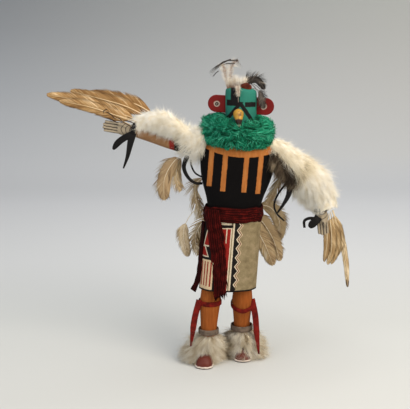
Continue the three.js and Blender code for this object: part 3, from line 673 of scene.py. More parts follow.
BLACK_WOOD = painted_wood("brushed_tempera_on_root_wood_body", body_paint, 0.75, 0.08)
HEAD_WOOD = painted_wood("brushed_tempera_on_root_wood_mask", head_paint, 0.65, 0.2)
BEAK_WOOD = painted_wood("ochre_tempera_on_root_wood", beak_paint, 0.45, 0.4)
SHOE_WOOD = painted_wood("red_brown_tempera_on_root_wood", moccasin_paint, 0.5, 0.3)

# Tanned hide with its hair on: white guard hairs over a creamy undercoat. The dark end of the ramp is painted shade,
# used under the left arm.
WHITE_FUR = strand_finish(
    "white_rabbit_fur", [(0.0, "#3b3129"), (0.14, "#7a6a56"), (0.3, "#d3c4a2"), (0.5, "#f0e5ca"),
                         (0.8, "#fbf4e2"), (1.0, "#fffbf0")], "#e9dab9", 0.8, 0.2)
# Hair that hangs under the left arm, grey-brown to nearly black as painted shade of the arm above it
UNDERARM_SHADE_FUR = strand_finish(
    "brown_rabbit_fur", [(0.0, "#1d1714"), (0.2, "#40342a"), (0.4, "#7d6b55"), (1.0, "#cbb999")],
    "#2b231d", 0.8, 0.1)
# Undyed hair with age on it: cream at the tips, brown near the hide and mottled. Its darkest tones are painted shade,
# between the feet.
CREAM_FUR = strand_finish(
    "cream_rabbit_fur", [(0.0, "#58483a"), (0.25, "#8d7759"), (0.5, "#c2ab86"), (0.75, "#e6dac0"),
                         (1.0, "#fbf4e6")], "#8f7a5f", 0.8)
# Dyed spun yarn, cut and fluffed. Deep green at the strands' roots and on the core is painted shade between the tufts,
# and the palest strands are partly painted highlight.
GREEN_YARN = strand_finish(
    "green_acrylic_yarn", [(0.0, "#024a31"), (0.35, "#076b4c"), (0.7, "#109069"), (1.0, "#4cb893")],
    "#013a27", 0.5)
# Stiff wing feathers: warm tan barbs with darker flecks, and a pale glossy quill
TAN_FEATHER = strand_finish(
    "tan_wing_feather", [(0.0, "#33231a"), (0.25, "#735030"), (0.5, "#9c7546"), (0.75, "#c39f6d"),
                         (1.0, "#ead0a6")], "#8a6a3f", 0.6)
# The same, from a paler and greyer bird
SANDY_FEATHER = strand_finish(
    "sandy_wing_feather", [(0.0, "#4a3826"), (0.3, "#836846"), (0.6, "#ab8d62"), (0.8, "#c8b18a"),
                           (1.0, "#e4d3b3")], "#8a6f49", 0.6)
# Soft body feathers: dun barbs that part easily, with a cream quill
PALE_FEATHER = strand_finish(
    "dun_body_feather", [(0.0, "#5d4a35"), (0.3, "#93795a"), (0.6, "#b8a07a"), (0.8, "#d3c2a4"),
                         (1.0, "#eadfc8")], "#9f8662", 0.6)
# Down that stands loose: white with grey-brown ends, and reddish where it is bound
CREST_DOWN = strand_finish(
    "crest_down", [(0.0, "#2c2521"), (0.25, "#5a4c42"), (0.45, "#94806c"), (0.6, "#cdbfa8"), (0.8, "#e9dfcc"),
                   (1.0, "#faf5ea")], "#8f5f44", 0.65)
# Small dark breast feathers with grey edges
CREST_VANE = strand_finish(
    "grey_breast_feather", [(0.0, "#1c1917"), (0.3, "#463f3a"), (0.6, "#8f8375"), (1.0, "#ddd2c0")],
    "#4a433d", 0.65)
BLACK_LEATHER = leather("black_garment_leather", "#070606", "#120f0e", 0.55, 0.15)
RED_LEATHER = leather("red_garment_leather", "#4a0d09", "#7c1a12", 0.75)
TIE_LEATHER = leather("red_brown_garment_leather", "#3d160e", "#6e3420", 0.8)
GREY_LEATHER = leather("grey_suede", "#54483e", "#7c6b5d", 0.9)


def cloth_finish():
    """Hand-woven wool sash: warp ribs run along it under a fuzz of fibres 0.8 mm apart, uneven in patches 6 mm across.
    Its colour follows the rib height: paler on the ribs as painted highlight, darker between them partly as the
    wefts and partly as painted shade. The real ribs are about 1 mm apart, and they are drawn 2 mm apart, seven across
    the cloth, so that they show."""
    material, tree, shader = new_finish("dark_red_hand_woven_wool", 0.95, 0.08)
    ribs = add(tree, "TexWave", {"Vector": add(tree, "UVMap").outputs["UV"], "Scale": 7 * math.pi / 10,
                                 "Distortion": 2.5, "Detail": 2, "Detail Scale": 3}).outputs["Fac"]
    place = doll_millimetres(tree)
    fuzz = add(tree, "TexNoise", {"Vector": place, "Scale": 1.3, "Detail": 5, "Roughness": 0.7})
    patch = add(tree, "TexNoise", {"Vector": place, "Scale": 0.16, "Detail": 3})
    height = add(tree, "Math", {0: ribs, 1: 0.36, 2: fuzz}, operation="MULTIPLY_ADD")
    # The colour below follows the rib height: painted highlight on the ribs and painted shade between them.
    shade = add(tree, "Math", {0: patch, 1: 0.9, 2: height}, operation="MULTIPLY_ADD")
    where = add(tree, "MapRange", [shade, 0.6, 1.45])
    tint = add(tree, "ValToRGB", [where], stops=[(0.0, "#0c0201"), (0.45, "#240403"), (0.8, "#3a0705"),
                                                 (1.0, "#5c130e")])
    wire(tree, shader, tint, height, 0.0006, 0.8)
    return material


RED_CLOTH = cloth_finish()


# Carved and painted wood

def trunk_middle(height):
    return trunk_x(height), 0 * height


TRUNK = Stack([
    (HEM + 2, 25.4, 17.2), (112, 25.2, 16.4), (BELT_LOW + 8, 25.4, 15.6), (BELT_TOP, 26, 15.8), (166, 28, 16.4),
    (176, 31.4, 17), (187, 34.4, 17.6), (203, 36.4, 17.8), (212, 35.9, 16.4), (217.5, 31, 13.8),
    (221.5, 17, 10.8), (225, 10, 9.4), (NECK - 0.5, 9.8, 9.2),
], trunk_middle, outline=squarish(TRUNK_SQUARE))
HEAD = Stack([
    (NECK, 9, 8.6), (NECK + 0.6, 13.2, 12.8), (237, 14.6, 14.2), (251, 15, 14.6), (264, 15, 14.6),
    (267.6, 14.6, 14.2), (269.4, 13, 12.6), (HEAD_TOP, 9.6, 9.2), (HEAD_TOP + 0.1, 3, 3),
], lambda height: (HEAD_X + 0 * height, 0 * height), TILT)


def leg_at(side):
    def middle(height):
        share = np.maximum(0, (height - ANKLE) / (LEG_TOP - ANKLE))
        return tuple(low + (high - low) * share for low, high in zip(side["ankle"], side["top"]))
    return middle


def leg(side):
    return Stack([
        (14, 7.4, 7.6), (36, 8.1, 8.4), (48, 9.1, 9.6), (60, 10.2, 10.2), (72, 9.3, 9.6), (LEG_TOP, 9.2, 9.4),
    ], leg_at(side))


def ear(name, side, ring):
    """A carved half-round tab with softened edges, let into the head as far as its root."""
    radius, length, thickness, root, level = 8.15, 17.6, 4.0, 13, 254.2
    bm = bmesh.new()
    bmesh.ops.create_circle(bm, cap_ends=True, segments=48, radius=radius)
    centre = length - radius + HEAD_RADIUS - 1
    for vert in bm.verts:
        if vert.co.x < 0:
            vert.co.x = root - centre
            vert.co.y = math.copysign(radius, vert.co.y) if abs(vert.co.y) > 1e-4 else 0
    bmesh.ops.remove_doubles(bm, verts=bm.verts, dist=0.01)
    raised = bmesh.ops.extrude_face_region(bm, geom=bm.faces[:])["geom"]
    raised = [part for part in raised if isinstance(part, bmesh.types.BMVert)]
    bmesh.ops.translate(bm, verts=raised, vec=(0, 0, thickness))
    rim = [edge for edge in bm.edges if len(edge.link_faces) == 2 and edge.calc_face_angle(0) > 1.2]
    bmesh.ops.bevel(bm, geom=rim, offset=0.7, segments=3, profile=0.5, affect="EDGES", material=-1)
    turn = np.array([[math.cos(TILT), 0, -math.sin(TILT)], [0, 1, 0], [math.sin(TILT), 0, math.cos(TILT)]])
    for vert in bm.verts:
        flat = np.array([side * (vert.co.x + centre), vert.co.z - thickness / 2, vert.co.y])
        vert.co = put(flat @ turn + (HEAD_X, 0, level))
    bmesh.ops.recalc_face_normals(bm, faces=bm.faces)
    wood = painted_wood("dark_red_tempera_on_root_wood_" + name, ear_paint(ring), 0.6, 0.2)
    show(name + "_tab", bm, wood, name, smooth=False)


BEAK = Tube([(2.3, -13, 245.8), (2.3, -18, 246.3), (2.3, -22.3, 242.6), (2.3, -23.2, 234.2)],
            [(4.9, 4.9), (4.95, 4.9), (4.9, 4.8), (4.5, 4.3), (3.5, 3.3), (1.4, 1.4)], LEFTWARD)

# The moccasin from heel to toe: how far along, half width and height
UPPER = [(0.4, 4.6, 8), (3, 6.4, 12.5), (13, 7, 13.3), (21, 7.9, 12.2), (27.5, 7.9, 10.2), (30.6, 6.2, 7.6),
         (32, 4.4, 5.6), (FOOT_LENGTH - 0.6, 1.6, 3.4)]
SOLE = [(-0.2, 3, 2.3), (0.6, 5.4, 2.3), (3, 7.2, 2.3), (13, 7.8, 2.3), (21, 8.7, 2.3), (27.5, 8.7, 2.3),
        (31, 7, 2.3), (FOOT_LENGTH - 0.6, 4.6, 2.3), (FOOT_LENGTH + 0.2, 1.6, 2.3)]


class Shoe:
    """The upper or the sole of a moccasin, which stands on the ground with its toe where the foot ends."""

    def __init__(self, side, profile, outline):
        self.forward = np.array([side["toe_out"], -1, 0]) / math.hypot(side["toe_out"], 1)
        self.toe = np.array([*side["toe"], 0])
        self.profile = Route(profile)
        self.outline = outline

    def surface(self, share, angle, scale=1.0):
        along, wide, high = np.moveaxis(self.profile.at(share), -1, 0)
        x, y = self.outline(angle)
        middle = self.toe + self.forward * (along - FOOT_LENGTH)[:, None]
        return middle + np.cross(self.forward, UP) * (wide * x)[:, None] + UP * (high / 2 * (1 + y))[:, None]


def moccasin(name, side):
    """A red-brown upper on a pale sole that stands out past it all round."""
    lofted(name + "_shoe", [(Shoe(side, UPPER, loaf), 36, 44), (Shoe(side, SOLE, squarish(5)), 36, 44)],
           SHOE_WOOD, name)


ARM_RADII = [(r, r) for r in (7, 6.8, 6.5, 6.3, 6, 5.6, 5.2)]
RIGHT_ARM = [(-29, 0, 214.5), (-47, -1, 214.6), (-61, -2, 218.2), (-80, -4, 224.6), (-98, -6, 230.3)]
LEFT_ARM = [(31, 0, 213), (46, -1, 209), (62, -2, 198.5), (76, -4, 183), (82, -5.5, 166), (84, -6.5, 151)]
RIGHT_HAND = {
    "wrist": (-96.5, -6, 229.8), "knuckles": (-112.5, -6.5, 233), "tips": (-126, -7, 235.2),
    "thumb": [(-101, -8.5, 233), (-107, -10, 236.5), (-113, -10.5, 238)], "up": UP,
}
LEFT_HAND = {
    "wrist": (84, -6.5, 152.5), "knuckles": (85, -7, 141.5), "tips": (86.5, -7.5, 129),
    "thumb": [(83, -9.5, 147), (86.5, -11, 142), (89, -11.5, 137)], "up": LEFTWARD,
}
FINGER_SPACING = 2.75
FINGER_RADII = [(1.4, 1.4), (1.45, 1.45), (1.35, 1.35), (1.1, 1.1)]


def arm(name, route, palm, up, material):
    """Arm, palm, four fingers and a thumb, fused as one carving."""
    wrist, knuckles, tips = (np.array(palm[key], dtype=float) for key in ("wrist", "knuckles", "tips"))
    lofts = [(Tube(route, ARM_RADII, up), 24, 40),
             (Tube([wrist, knuckles], [(4, 4.6), (3.2, 6.3), (2.2, 5.2)], palm["up"]), 24, 16)]
    spread = np.cross(FRONT, unit(tips - knuckles))
    root = knuckles + (wrist - knuckles) * 0.25
    for place in (-1.5, -0.5, 0.5, 1.5):
        aside = spread * place * FINGER_SPACING
        end = knuckles + aside + (tips + aside * 1.05 - knuckles - aside) * (0.9 if abs(place) > 1 else 1)
        lofts.append((Tube([root + aside, knuckles + aside, end], FINGER_RADII, palm["up"]), 12, 14))
    lofts.append((Tube(palm["thumb"], [(1.9, 1.9), (1.8, 1.8), (1.1, 1.1)], palm["up"]), 12, 12))
    piece = lofted(name + "_carved", lofts, material, name)
    fuse = piece.modifiers.new("fuse", "REMESH")
    fuse.mode = "VOXEL"
    fuse.voxel_size = 0.6 * MM
    relax = piece.modifiers.new("relax", "SMOOTH")
    relax.iterations = 3
    carved = bpy.data.meshes.new_from_object(piece.evaluated_get(bpy.context.evaluated_depsgraph_get()))
    piece.modifiers.clear()
    piece.data = carved
    carved.shade_smooth()


lofted("carved_body", [(TRUNK, 72, 64), (leg(RIGHT_LEG), 40, 26), (leg(LEFT_LEG), 40, 26)],
       BLACK_WOOD, "body")
lofted("case_mask", [(HEAD, 64, 48)], HEAD_WOOD, "head")
ear("right_ear", -1, (-17.8, 255.4))
ear("left_ear", 1, (26.9, 252.6))
lofted("hooked_beak", [(BEAK, 32, 24)], BEAK_WOOD, "beak")
moccasin("right_moccasin", RIGHT_LEG)
moccasin("left_moccasin", LEFT_LEG)
RIGHT_WOOD = painted_wood("tempera_on_root_wood_right_arm", arm_paint(RIGHT_HAND, "x", 58.5, 94), 0.6, 0.2)
LEFT_WOOD = painted_wood("tempera_on_root_wood_left_arm", arm_paint(LEFT_HAND, "z", -200, -154), 0.6, 0.2)
arm("right_arm", RIGHT_ARM, RIGHT_HAND, UP, RIGHT_WOOD)
arm("left_arm", LEFT_ARM, LEFT_HAND, SLANT, LEFT_WOOD)


# Neck ruff: loops and ends of yarn tied round the neck

class Ruff:
    """The ring that the yarn fills, with a dip in front, under the beak."""
    wide, deep, low, high, x = 34.5, 27, 212, 245.9, 2.8

    @classmethod
    def surface(cls, share, angle, scale=1.0):
        level = np.clip(2 * share - 1, -1, 1)
        swell = np.sqrt(np.maximum(0, 1 - np.abs(level) ** 3.4)) * 0.5 + 0.5
        middle, half = (cls.low + cls.high) / 2, (cls.high - cls.low) / 2
        across = cls.wide * swell * np.cos(angle) * scale
        dip = 6.5 * np.exp(-((np.mod(angle, 2 * math.pi) - math.pi / 2) / 0.75) ** 2) * np.clip(level, 0, 1)
        return np.stack([cls.x + across * math.cos(TILT), -1 - cls.deep * swell * np.sin(angle) * scale,
                         middle + half * level * (0.35 + 0.65 * scale) - dip - across * math.sin(TILT)], axis=-1)


def ruff():
    """Tufts of yarn that come out of the neck and lie over, each its own way."""
    draw = dice("neck_ruff")
    # The core inside the tufts is dark green as painted shade.
    parts = [lofted_part(Ruff, 32, 14, 0.15, 0.5, 0.78)]
    tufts, each = 500, 18
    share = np.repeat(draw.uniform(0.06, 0.94, tufts), each)
    angle = np.repeat(draw.uniform(0, 2 * math.pi, tufts), each)
    aside = np.sin(angle - math.pi / 2) * 0.05
    swing = np.repeat(draw.normal(0, 0.15, tufts), each) + aside
    rise = np.repeat(draw.normal(0, 0.09, tufts), each) + (share - 0.55) * 0.3
    reach = np.repeat(draw.normal(1.0, 0.05, tufts), each)
    shade = np.repeat(draw.uniform(0.15, 0.85, tufts), each)
    count = tufts * each
    spread_share, spread_angle = draw.normal(0, 0.05, count), draw.normal(0, 0.11, count)
    root = Ruff.surface(share + 0.5 * spread_share, angle + 0.5 * spread_angle, 0.74)
    middle = Ruff.surface(share + 0.3 * rise + 0.6 * spread_share,
                          angle + 0.3 * swing + 0.6 * spread_angle, reach + 0.04)
    tip = Ruff.surface(share + rise + spread_share, angle + swing + spread_angle,
                       reach + draw.normal(-0.02, 0.04, count))
    out = unit(Ruff.surface(share, angle, 1.02) - Ruff.surface(share, angle, 0.8))
    parts.append(strands(YARN, root, middle, tip, draw.uniform(0.2, 0.33, count),
                         face=any_side(draw, count), tone=np.clip(shade + draw.normal(0, 0.3, count), 0, 1),
                         blunt=3, outward=0.6 * out))
    show("neck_ruff_yarn", parts, GREEN_YARN, "neck_ruff")


ruff()


# Rabbit fur

HAIR_RADIUS = 0.15


def fur(name, node, body, material, count, comb, length, tone, core=0.84, leads=700, hold=0.6,
        wander=0.3, puff=1.0, sag=0.0, shares=(0.0, 1.0), ground=None, fly=0.07):
    """Hair rooted on a hide. comb says which way it lies, hold how far its tips gather in locks, each round
    one of the leads, and fly how many hairs stray. ground keeps hair that lies on it from passing through."""
    draw = dice(name)
    parts = [lofted_part(body, 28, 30, 0.6, 0.5, core)]
    share, angle = draw.uniform(*shares, count), draw.uniform(0, 2 * math.pi, count)
    root, along, out = lie(body, share, angle, core * 0.97)
    rim = body.surface(share, angle, puff) - root
    way = unit(comb(along, out) + draw.normal(0, wander, (count, 3)))
    way = unit(way - out * np.minimum(0, (way * out).sum(1))[:, None])
    stray = draw.uniform(0, 1, count) < fly
    way = unit(way + (out + 0.6 * draw.normal(0, 0.7, (count, 3))) * stray[:, None])
    size = (length(share, angle) * draw.uniform(0.6, 1.15, count) * (1 + 0.15 * stray))[:, None]
    middle = root + rim * 0.9 + way * size * 0.35
    tip = root + rim * draw.uniform(0.8, 1.15, count)[:, None] + way * size
    own = locks(draw, root, leads)
    pull = hold * draw.uniform(0.5, 1.1, count)[:, None] * ~stray[:, None]
    gather = pull * (tip[own] + (root - root[own]) * 0.3 - tip)
    tip = tip + gather + DOWNWARD * sag
    middle = middle + 0.4 * gather
    if ground is not None:
        for part in (middle, tip):
            middle_y = np.clip(part[:, 1], -26, 22)
            part[:, 1] = middle_y + (part[:, 1] - middle_y) * 0.35
        tip[:, 2] = np.maximum(tip[:, 2], ground + draw.uniform(0, 0.8, count))
        middle[:, 2] = np.maximum(middle[:, 2], ground + 0.6)
    lock_tone = draw.normal(0, 0.14, count)[own]
    shade = np.clip(tone(share, root) + lock_tone + draw.normal(0, 0.08, count), 0, 1)
    parts.append(strands(HAIR, root, middle, tip, HAIR_RADIUS * draw.uniform(0.75, 1.3, count),
                         face=any_side(draw, count), tone=shade, outward=unit(out + 0.35 * way)))
    show(name, parts, material, node)


RIGHT_FUR = Tube([
    (-29, 0, 222), (-40, 0, 220), (-50.5, 0, 228), (-60, 0.5, 233),
    (-68.5, 1, 236), (-78, 0, 238), (-87, -1.5, 237.5), (-94, -3, 235.8),
], [(10, 11), (12.4, 12.4), (11, 7), (12, 8.6), (12.6, 12), (12, 11.6), (10, 9.6), (7, 6)])
LEFT_FUR = Tube([
    (33, 0.5, 215.5), (43, -0.5, 208), (55, -0.5, 197.5), (68, -0.5, 186),
    (77, -1.5, 175), (84, -2.5, 163.5), (88.4, -4.6, 153.6),
], [(11, 10), (13, 14), (14, 16), (14.5, 17.5), (14.5, 19), (14.5, 19), (14, 17), (13, 12.5)], SLANT)
fur("right_sleeve_rabbit_fur", "right_sleeve_fur", RIGHT_FUR, WHITE_FUR, 14800,
    lambda along, out: along * 0.45 + DOWNWARD * 0.55 + out * 0.35,
    lambda share, angle: 9 + 7 * np.exp(-((share - 0.13) / 0.1) ** 2) * (np.sin(angle) < 0.2),
    lambda share, root: 0.86 - 0.3 * np.exp(-((root[:, 0] + 52) / 5) ** 2), sag=0.8, puff=0.95)
fur("left_sleeve_rabbit_fur", "left_sleeve_fur", LEFT_FUR, WHITE_FUR, 14800,
    lambda along, out: along * 0.6 + DOWNWARD * 0.3 + out * 0.35,
    lambda share, angle: (9 + 4 * np.exp(-((share - 0.62) / 0.2) ** 2)) * (1 - 0.55 * (share > 0.86)),
    # The left sleeve's tones are painted light: paler on its half towards the hand as painted highlight, and darker as
    # painted shade in the armpit and in a band above its middle.
    lambda share, root: (0.7 + 0.14 * (share > 0.5)
                         - 0.6 * np.exp(-((root[:, 0] - 35) / 13) ** 2 - ((root[:, 2] - 192) / 15) ** 2)
                         - 0.26 * np.exp(-((share - 0.42) / 0.08) ** 2)), sag=0.6, puff=0.86)


def underarm_hair():
    """Hair that hangs from the edge of the hide under the left arm, coloured dark as painted shade under the arm."""
    draw = dice("underarm")
    count = 3800
    along = draw.uniform(0, 1, count)[:, None]
    root = np.array([35, -9, 208]) * (1 - along) + np.array([56, -10, 184]) * along
    root = root + draw.normal(0, 2.4, (count, 3))
    own = locks(draw, root, 130)
    fall = np.stack([draw.normal(-2, 3, count), draw.normal(-1.5, 1.5, count), -draw.uniform(6, 15, count)], axis=-1)
    tip = root + fall * 0.35 + fall[own] * 0.65
    middle = root + (tip - root) * 0.5 + np.array([1.5, -2, 1.5])
    tone = np.clip(0.12 + 0.6 * draw.uniform(0, 1, count)[own] ** 2 + draw.normal(0, 0.06, count), 0, 1)
    parts = [strands(HAIR, root, middle, tip, draw.uniform(0.12, 0.2, count), face=any_side(draw, count), tone=tone)]
    show("left_underarm_rabbit_hair", parts, UNDERARM_SHADE_FUR, "left_sleeve_fur")


underarm_hair()


def ankle_fur(name, side, strap_low, strap_radius, skirt, wide, deep):
    """A skirt of cream hair that widens from the strap to the ground, round the middle of the foot."""
    top = strap_low - 0.3

    def middle(height):
        share = np.minimum(1, (top - height) / 18)
        high = leg_at(side)(np.array(top, dtype=float))
        return tuple(near + (far - near) * share for near, far in zip(high, skirt))
    hide = Stack([
        (top, strap_radius + 0.4, strap_radius + 0.2), (18, wide * 0.8, deep * 0.86), (6, wide, deep),
        (1.6, wide * 0.98, deep * 0.98),
    ], middle)
    fur(name + "_rabbit", name, hide, CREAM_FUR, 10500,
        lambda along, out: along * 0.75 + out * 0.5,
        lambda share, angle: 9 + 4 * (1 - share),
        # Darker towards x = -9, between the feet, as painted shade.
        lambda share, root: 0.76 - 0.4 * np.exp(-((root[:, 0] + 9) / 6) ** 2), core=0.7, leads=300, hold=0.7, fly=0.1,
        wander=0.34, shares=(0.0, 0.97), ground=0.4)


ankle_fur("right_ankle_fur", RIGHT_LEG, 29.2, 10.2, (-31, -2.5), 19.4, 16)
ankle_fur("left_ankle_fur", LEFT_LEG, 28.6, 11.2, (11.4, 8.6), 20.6, 15)


# Feathers

QUILL = 0.7
BARB_THICKNESS = 0.13


def vane(width, bare, blunt):
    """Half width of a feather: a bare quill, a vane that opens quickly, and a rounded tip."""
    def half(share):
        along = np.clip((share - bare) / (1 - bare), 0, 1)
        return QUILL * 0.6 + width * np.minimum(1, along / 0.2) ** 0.7 * np.sqrt(np.maximum(0, 1 - along ** blunt))
    return half


def feather(node, points, width, bare, blunt, material, slot, barbs, sweep, ragged, tones, close=1.0,
            film=0.86, splits=3, droop=0.0, quill=0.5, marks=None, cup=0.12, fleck=0.07, stem=0.95, extra=()):
    """A shaft with barbs on both sides, held together by a thin web as far as film reaches across the vane.
    Barbs sweep forward, part where the vane splits, and run from the first of the tones to the second."""
    draw = dice(node)
    route = Route(points)
    half = vane(width, bare, blunt)
    shaft = Tube(points, [(quill, quill), (quill * 0.85, quill * 0.85), (quill * 0.5, quill * 0.5),
                          (quill * 0.2, quill * 0.2)], FRONT)
    parts = [lofted_part(shaft, 8, 20, stem, 0.6)]

    class Web:
        @staticmethod
        def surface(share, angle, scale=1.0):
            place = bare + (0.99 - bare) * (0.03 + 0.97 * share)
            along = route.along(place)
            across = unit(np.cross(along, FRONT))
            wide = half(place) * film * np.cos(angle)
            hollow = cup * wide ** 2 / width + 0.06 * np.sin(angle)
            return route.at(place) + across * wide[:, None] - FRONT * hollow[:, None]
    if film:
        parts.append(lofted_part(Web, 10, 26, 0.5 * sum(tones), 0.5))
    spacing = route.length * (1 - bare) / barbs
    gaps, sizes = draw.uniform(bare + 0.1, max(bare + 0.2, 0.72), splits), draw.uniform(-1, 1, splits)
    phase = draw.uniform(0, 6, 2)
    for side in (-1, 1):
        share = np.linspace(bare, 0.985, barbs) + draw.normal(0, 0.2 / barbs, barbs)
        ahead = share
        for _ in range(24):
            ahead = 0.5 * ahead + 0.5 * np.clip(share + half(ahead) * sweep / route.length, 0, 1)
        away = half(ahead) * (1 + draw.normal(0, ragged, barbs))
        part = np.zeros(barbs)
        for place, size in zip(gaps, sizes):
            near = (share - place) / 0.04
            part += (size * side > 0) * np.sign(near) * np.exp(-np.abs(near)) * 0.35
        root, along = route.at(share), route.along(share)
        across = unit(np.cross(along, FRONT)) * side
        forward = along * (away * (sweep + part + draw.normal(0, 0.06, barbs)))[:, None]
        out = across * away[:, None]
        back = -FRONT * (cup * away ** 2 / width + draw.normal(0, 0.05, barbs) * away * (1 + 4 * ragged))[:, None]
        middle = root + out * 0.62 + forward * 0.36 + back * 0.4
        tip = root + out + forward + back
        tip[:, 2] -= droop * away * draw.uniform(0.3, 1, barbs)
        tone = (tones[0] + (tones[1] - tones[0]) * (0.5 + 0.3 * np.sin(share * 17 + phase[0]) + 0.2 * side)
                + draw.normal(0, fleck, barbs) + (marks(share) if marks else 0))
        parts.append(strands(YARN, root, middle, tip, spacing * 0.62 * close, np.clip(tone, 0, 1),
                             BARB_THICKNESS, np.broadcast_to(FRONT, root.shape), blunt=5))
    show(node + "_barbs", parts + list(extra), material, node)


def plume(node, points, width, bare, count, forward, tones, droop, radius=0.11, end=1.0, marks=None, extra=()):
    """A downy plume: a thin shaft with loose soft barbs all round its two edges."""
    draw = dice(node)
    route = Route(points)
    shaft = Tube(points, [(0.3, 0.3), (0.22, 0.22), (0.15, 0.15), (0.08, 0.08)], FRONT)
    parts = [lofted_part(shaft, 6, 20, 0.75, 0.6)]
    share = bare + (end - bare) * draw.uniform(0, 1, count) ** 0.85
    side = draw.choice([-1, 1], count)
    root, along = route.at(share), route.along(share)
    across = unit(np.cross(along, FRONT)) * side[:, None]
    roll = draw.normal(0, 0.55, count)[:, None]
    out = across * np.cos(roll) + FRONT * np.sin(roll)
    size = (width * np.sqrt(np.maximum(0.05, 1 - (2 * (share - bare) / (end - bare) - 0.9) ** 2 * 0.7))
            * draw.uniform(0.5, 1.2, count))[:, None]
    own = locks(draw, root * 3 + out * 3, max(12, count // 14))
    bend = draw.normal(0, 0.3, (count, 3))
    tip = (root + out * size + along * size * forward + bend[own] * size
           + DOWNWARD * droop * draw.uniform(0, 1, count)[:, None])
    middle = root + out * size * 0.7 + along * size * forward * 0.25
    tone = tones[0] + (tones[1] - tones[0]) * draw.uniform(0, 1, count)[own] + draw.normal(0, 0.08, count)
    if marks:
        tone = tone + marks(share)
    parts.append(strands(HAIR, root, middle, tip, radius * draw.uniform(0.7, 1.4, count),
                         face=any_side(draw, count), tone=np.clip(tone, 0, 1)))
    show(node + "_down", parts + list(extra), CREST_DOWN, node)


def loose_barbs(name, arcs, each=8, spread=0.6, width=0.26, tone=0.03, blunt=1.0):
    """Separate barbs or threads, each a few thin ones side by side."""
    draw = dice(name)
    count = len(arcs) * each
    root, middle, tip = (np.repeat(part, each, axis=0) for part in np.moveaxis(np.array(arcs, dtype=float), 1, 0))
    root, middle, tip = (part + draw.normal(0, spread * grow, (count, 3))
                         for part, grow in ((root, 0.5), (middle, 0.8), (tip, 1.3)))
    barbs = strands(YARN, root, middle, tip, width * draw.uniform(0.6, 1.3, count),
                    tone=np.clip(tone + draw.normal(0, 0.08, count), 0, 1), blunt=blunt)
    return (*barbs[:3], 0.5 + 0.5 * barbs[3], barbs[4])


# Feathers: points along the shaft, half width, bare share, tones and how many splits
WINGS = {
    "right_wing_feather": [
        ([(-90, 3, 238.5), (-112, 3, 246.5), (-148, 3, 258), (-180.5, 3, 264)], 6.4, 0.08, (0.35, 0.85), 2),
        ([(-86, 5.2, 243.5), (-106, 5.2, 253), (-132, 5.2, 260.5), (-158, 5.2, 267.5)], 6.2, 0.04, (0.3, 0.7), 1),
        ([(-80, 7.4, 246), (-94, 7.4, 253.8), (-114, 7.4, 260.5), (-141, 7.4, 266)], 6.2, 0.02, (0.2, 0.6), 1),
        ([(-93, 0.8, 236.5), (-112, 0.8, 243.5), (-140, 0.8, 252.5), (-168, 0.8, 258)], 6.0, 0.12, (0.35, 0.85), 2),
    ],
    "left_wing_feather": [
        ([(89.5, -1.8, 146), (90.5, -1.8, 130), (90.5, -1.8, 115), (88.5, -1.8, 101)], 3.6, 0.1, (0.3, 0.6), 1),
        ([(92, 0.3, 149), (95, 0.3, 130), (95.5, 0.3, 112), (92.5, 0.3, 97.5)], 4.8, 0.1, (0.5, 0.8), 1),
        ([(94, 2.4, 150), (99, 2.4, 130), (100, 2.4, 114), (96.5, 2.4, 97.5)], 5.2, 0.1, (0.5, 0.85), 1),
        ([(96, 4.5, 151), (102, 4.5, 134), (104.5, 4.5, 119), (101.5, 4.5, 104)], 4.2, 0.1, (0.6, 0.9), 1),
        ([(97, 6.6, 151), (105, 6.6, 128), (111, 6.6, 101), (114, 6.6, 72.5)], 2.9, 0.12, (0.7, 0.95), 1),
    ],
}
# The tail: points, half width and tones
TAIL = [
    ([(-21, 19.2, 152), (-38, 21, 149), (-50.5, 22, 128), (-46.5, 22, 100)], 6, (0.5, 0.9)),
    ([(-17, 19.6, 149), (-30, 22, 138), (-38.5, 24.4, 121), (-36, 24.4, 101)], 5.2, (0.45, 0.8)),
    ([(-10, 19.8, 149), (-14, 21.5, 130), (-17, 22, 108), (-18, 22, 84)], 7.5, (0.4, 0.8)),
    ([(0, 20, 149), (3, 23.5, 130), (5, 24.4, 106), (6, 24.4, 80)], 8, (0.45, 0.85)),
    ([(9, 19.8, 149), (20, 21.5, 133), (31, 22, 114), (40.5, 22, 91)], 9, (0.35, 0.8)),
    ([(14, 19.8, 151), (28, 23.5, 137), (40, 24.4, 118), (47.6, 24.4, 95)], 8, (0.3, 0.7)),
    ([(18, 19.6, 154), (36, 24.5, 151), (46, 26.8, 137), (47, 26.8, 116)], 7.8, (0.35, 0.8)),
]
# The soft feathers: points, half width, bare share, and how each is made
PLUMES = {
    "right_arm_plume_1": ([(-50.5, 0, 206.6), (-59, 0, 200), (-68, 0, 184), (-69, 0, 162)], 7.8, 0.1,
                          {"barbs": 130, "sweep": 1.9, "ragged": 0.1, "droop": 0.3, "quill": 0.3, "splits": 2,
                           "tones": (0.15, 0.65), "cup": 0.25, "fleck": 0.14}),
    "right_arm_plume_2": ([(-49.5, 3, 206.6), (-55, 3, 198), (-57, 3, 184), (-53, 3, 170)], 6.2, 0.12,
                          {"barbs": 70, "sweep": 1.6, "film": 0.4, "ragged": 0.25, "droop": 0.3, "quill": 0.3,
                           "close": 0.8, "splits": 1, "tones": (0.35, 0.8)}),
    "left_arm_plume": ([(49, 6, 200), (45, 6, 186), (39, 6, 171), (31.5, 6, 157.5)], 4.4, 0.2,
                       {"barbs": 70, "sweep": 2.0, "film": 0.4, "ragged": 0.25, "droop": 0.3, "quill": 0.35,
                        "close": 0.9, "tones": (0.45, 0.85)}),
    "right_back_feather": ([(-29, 13.5, 184), (-38, 14.5, 176), (-38, 15, 162), (-33, 15, 142)], 5.6, 0.08,
                           {"barbs": 70, "sweep": 1.8, "film": 0.3, "ragged": 0.3, "droop": 0.4, "quill": 0.35,
                            "close": 0.8, "tones": (0.4, 0.8)}),
}
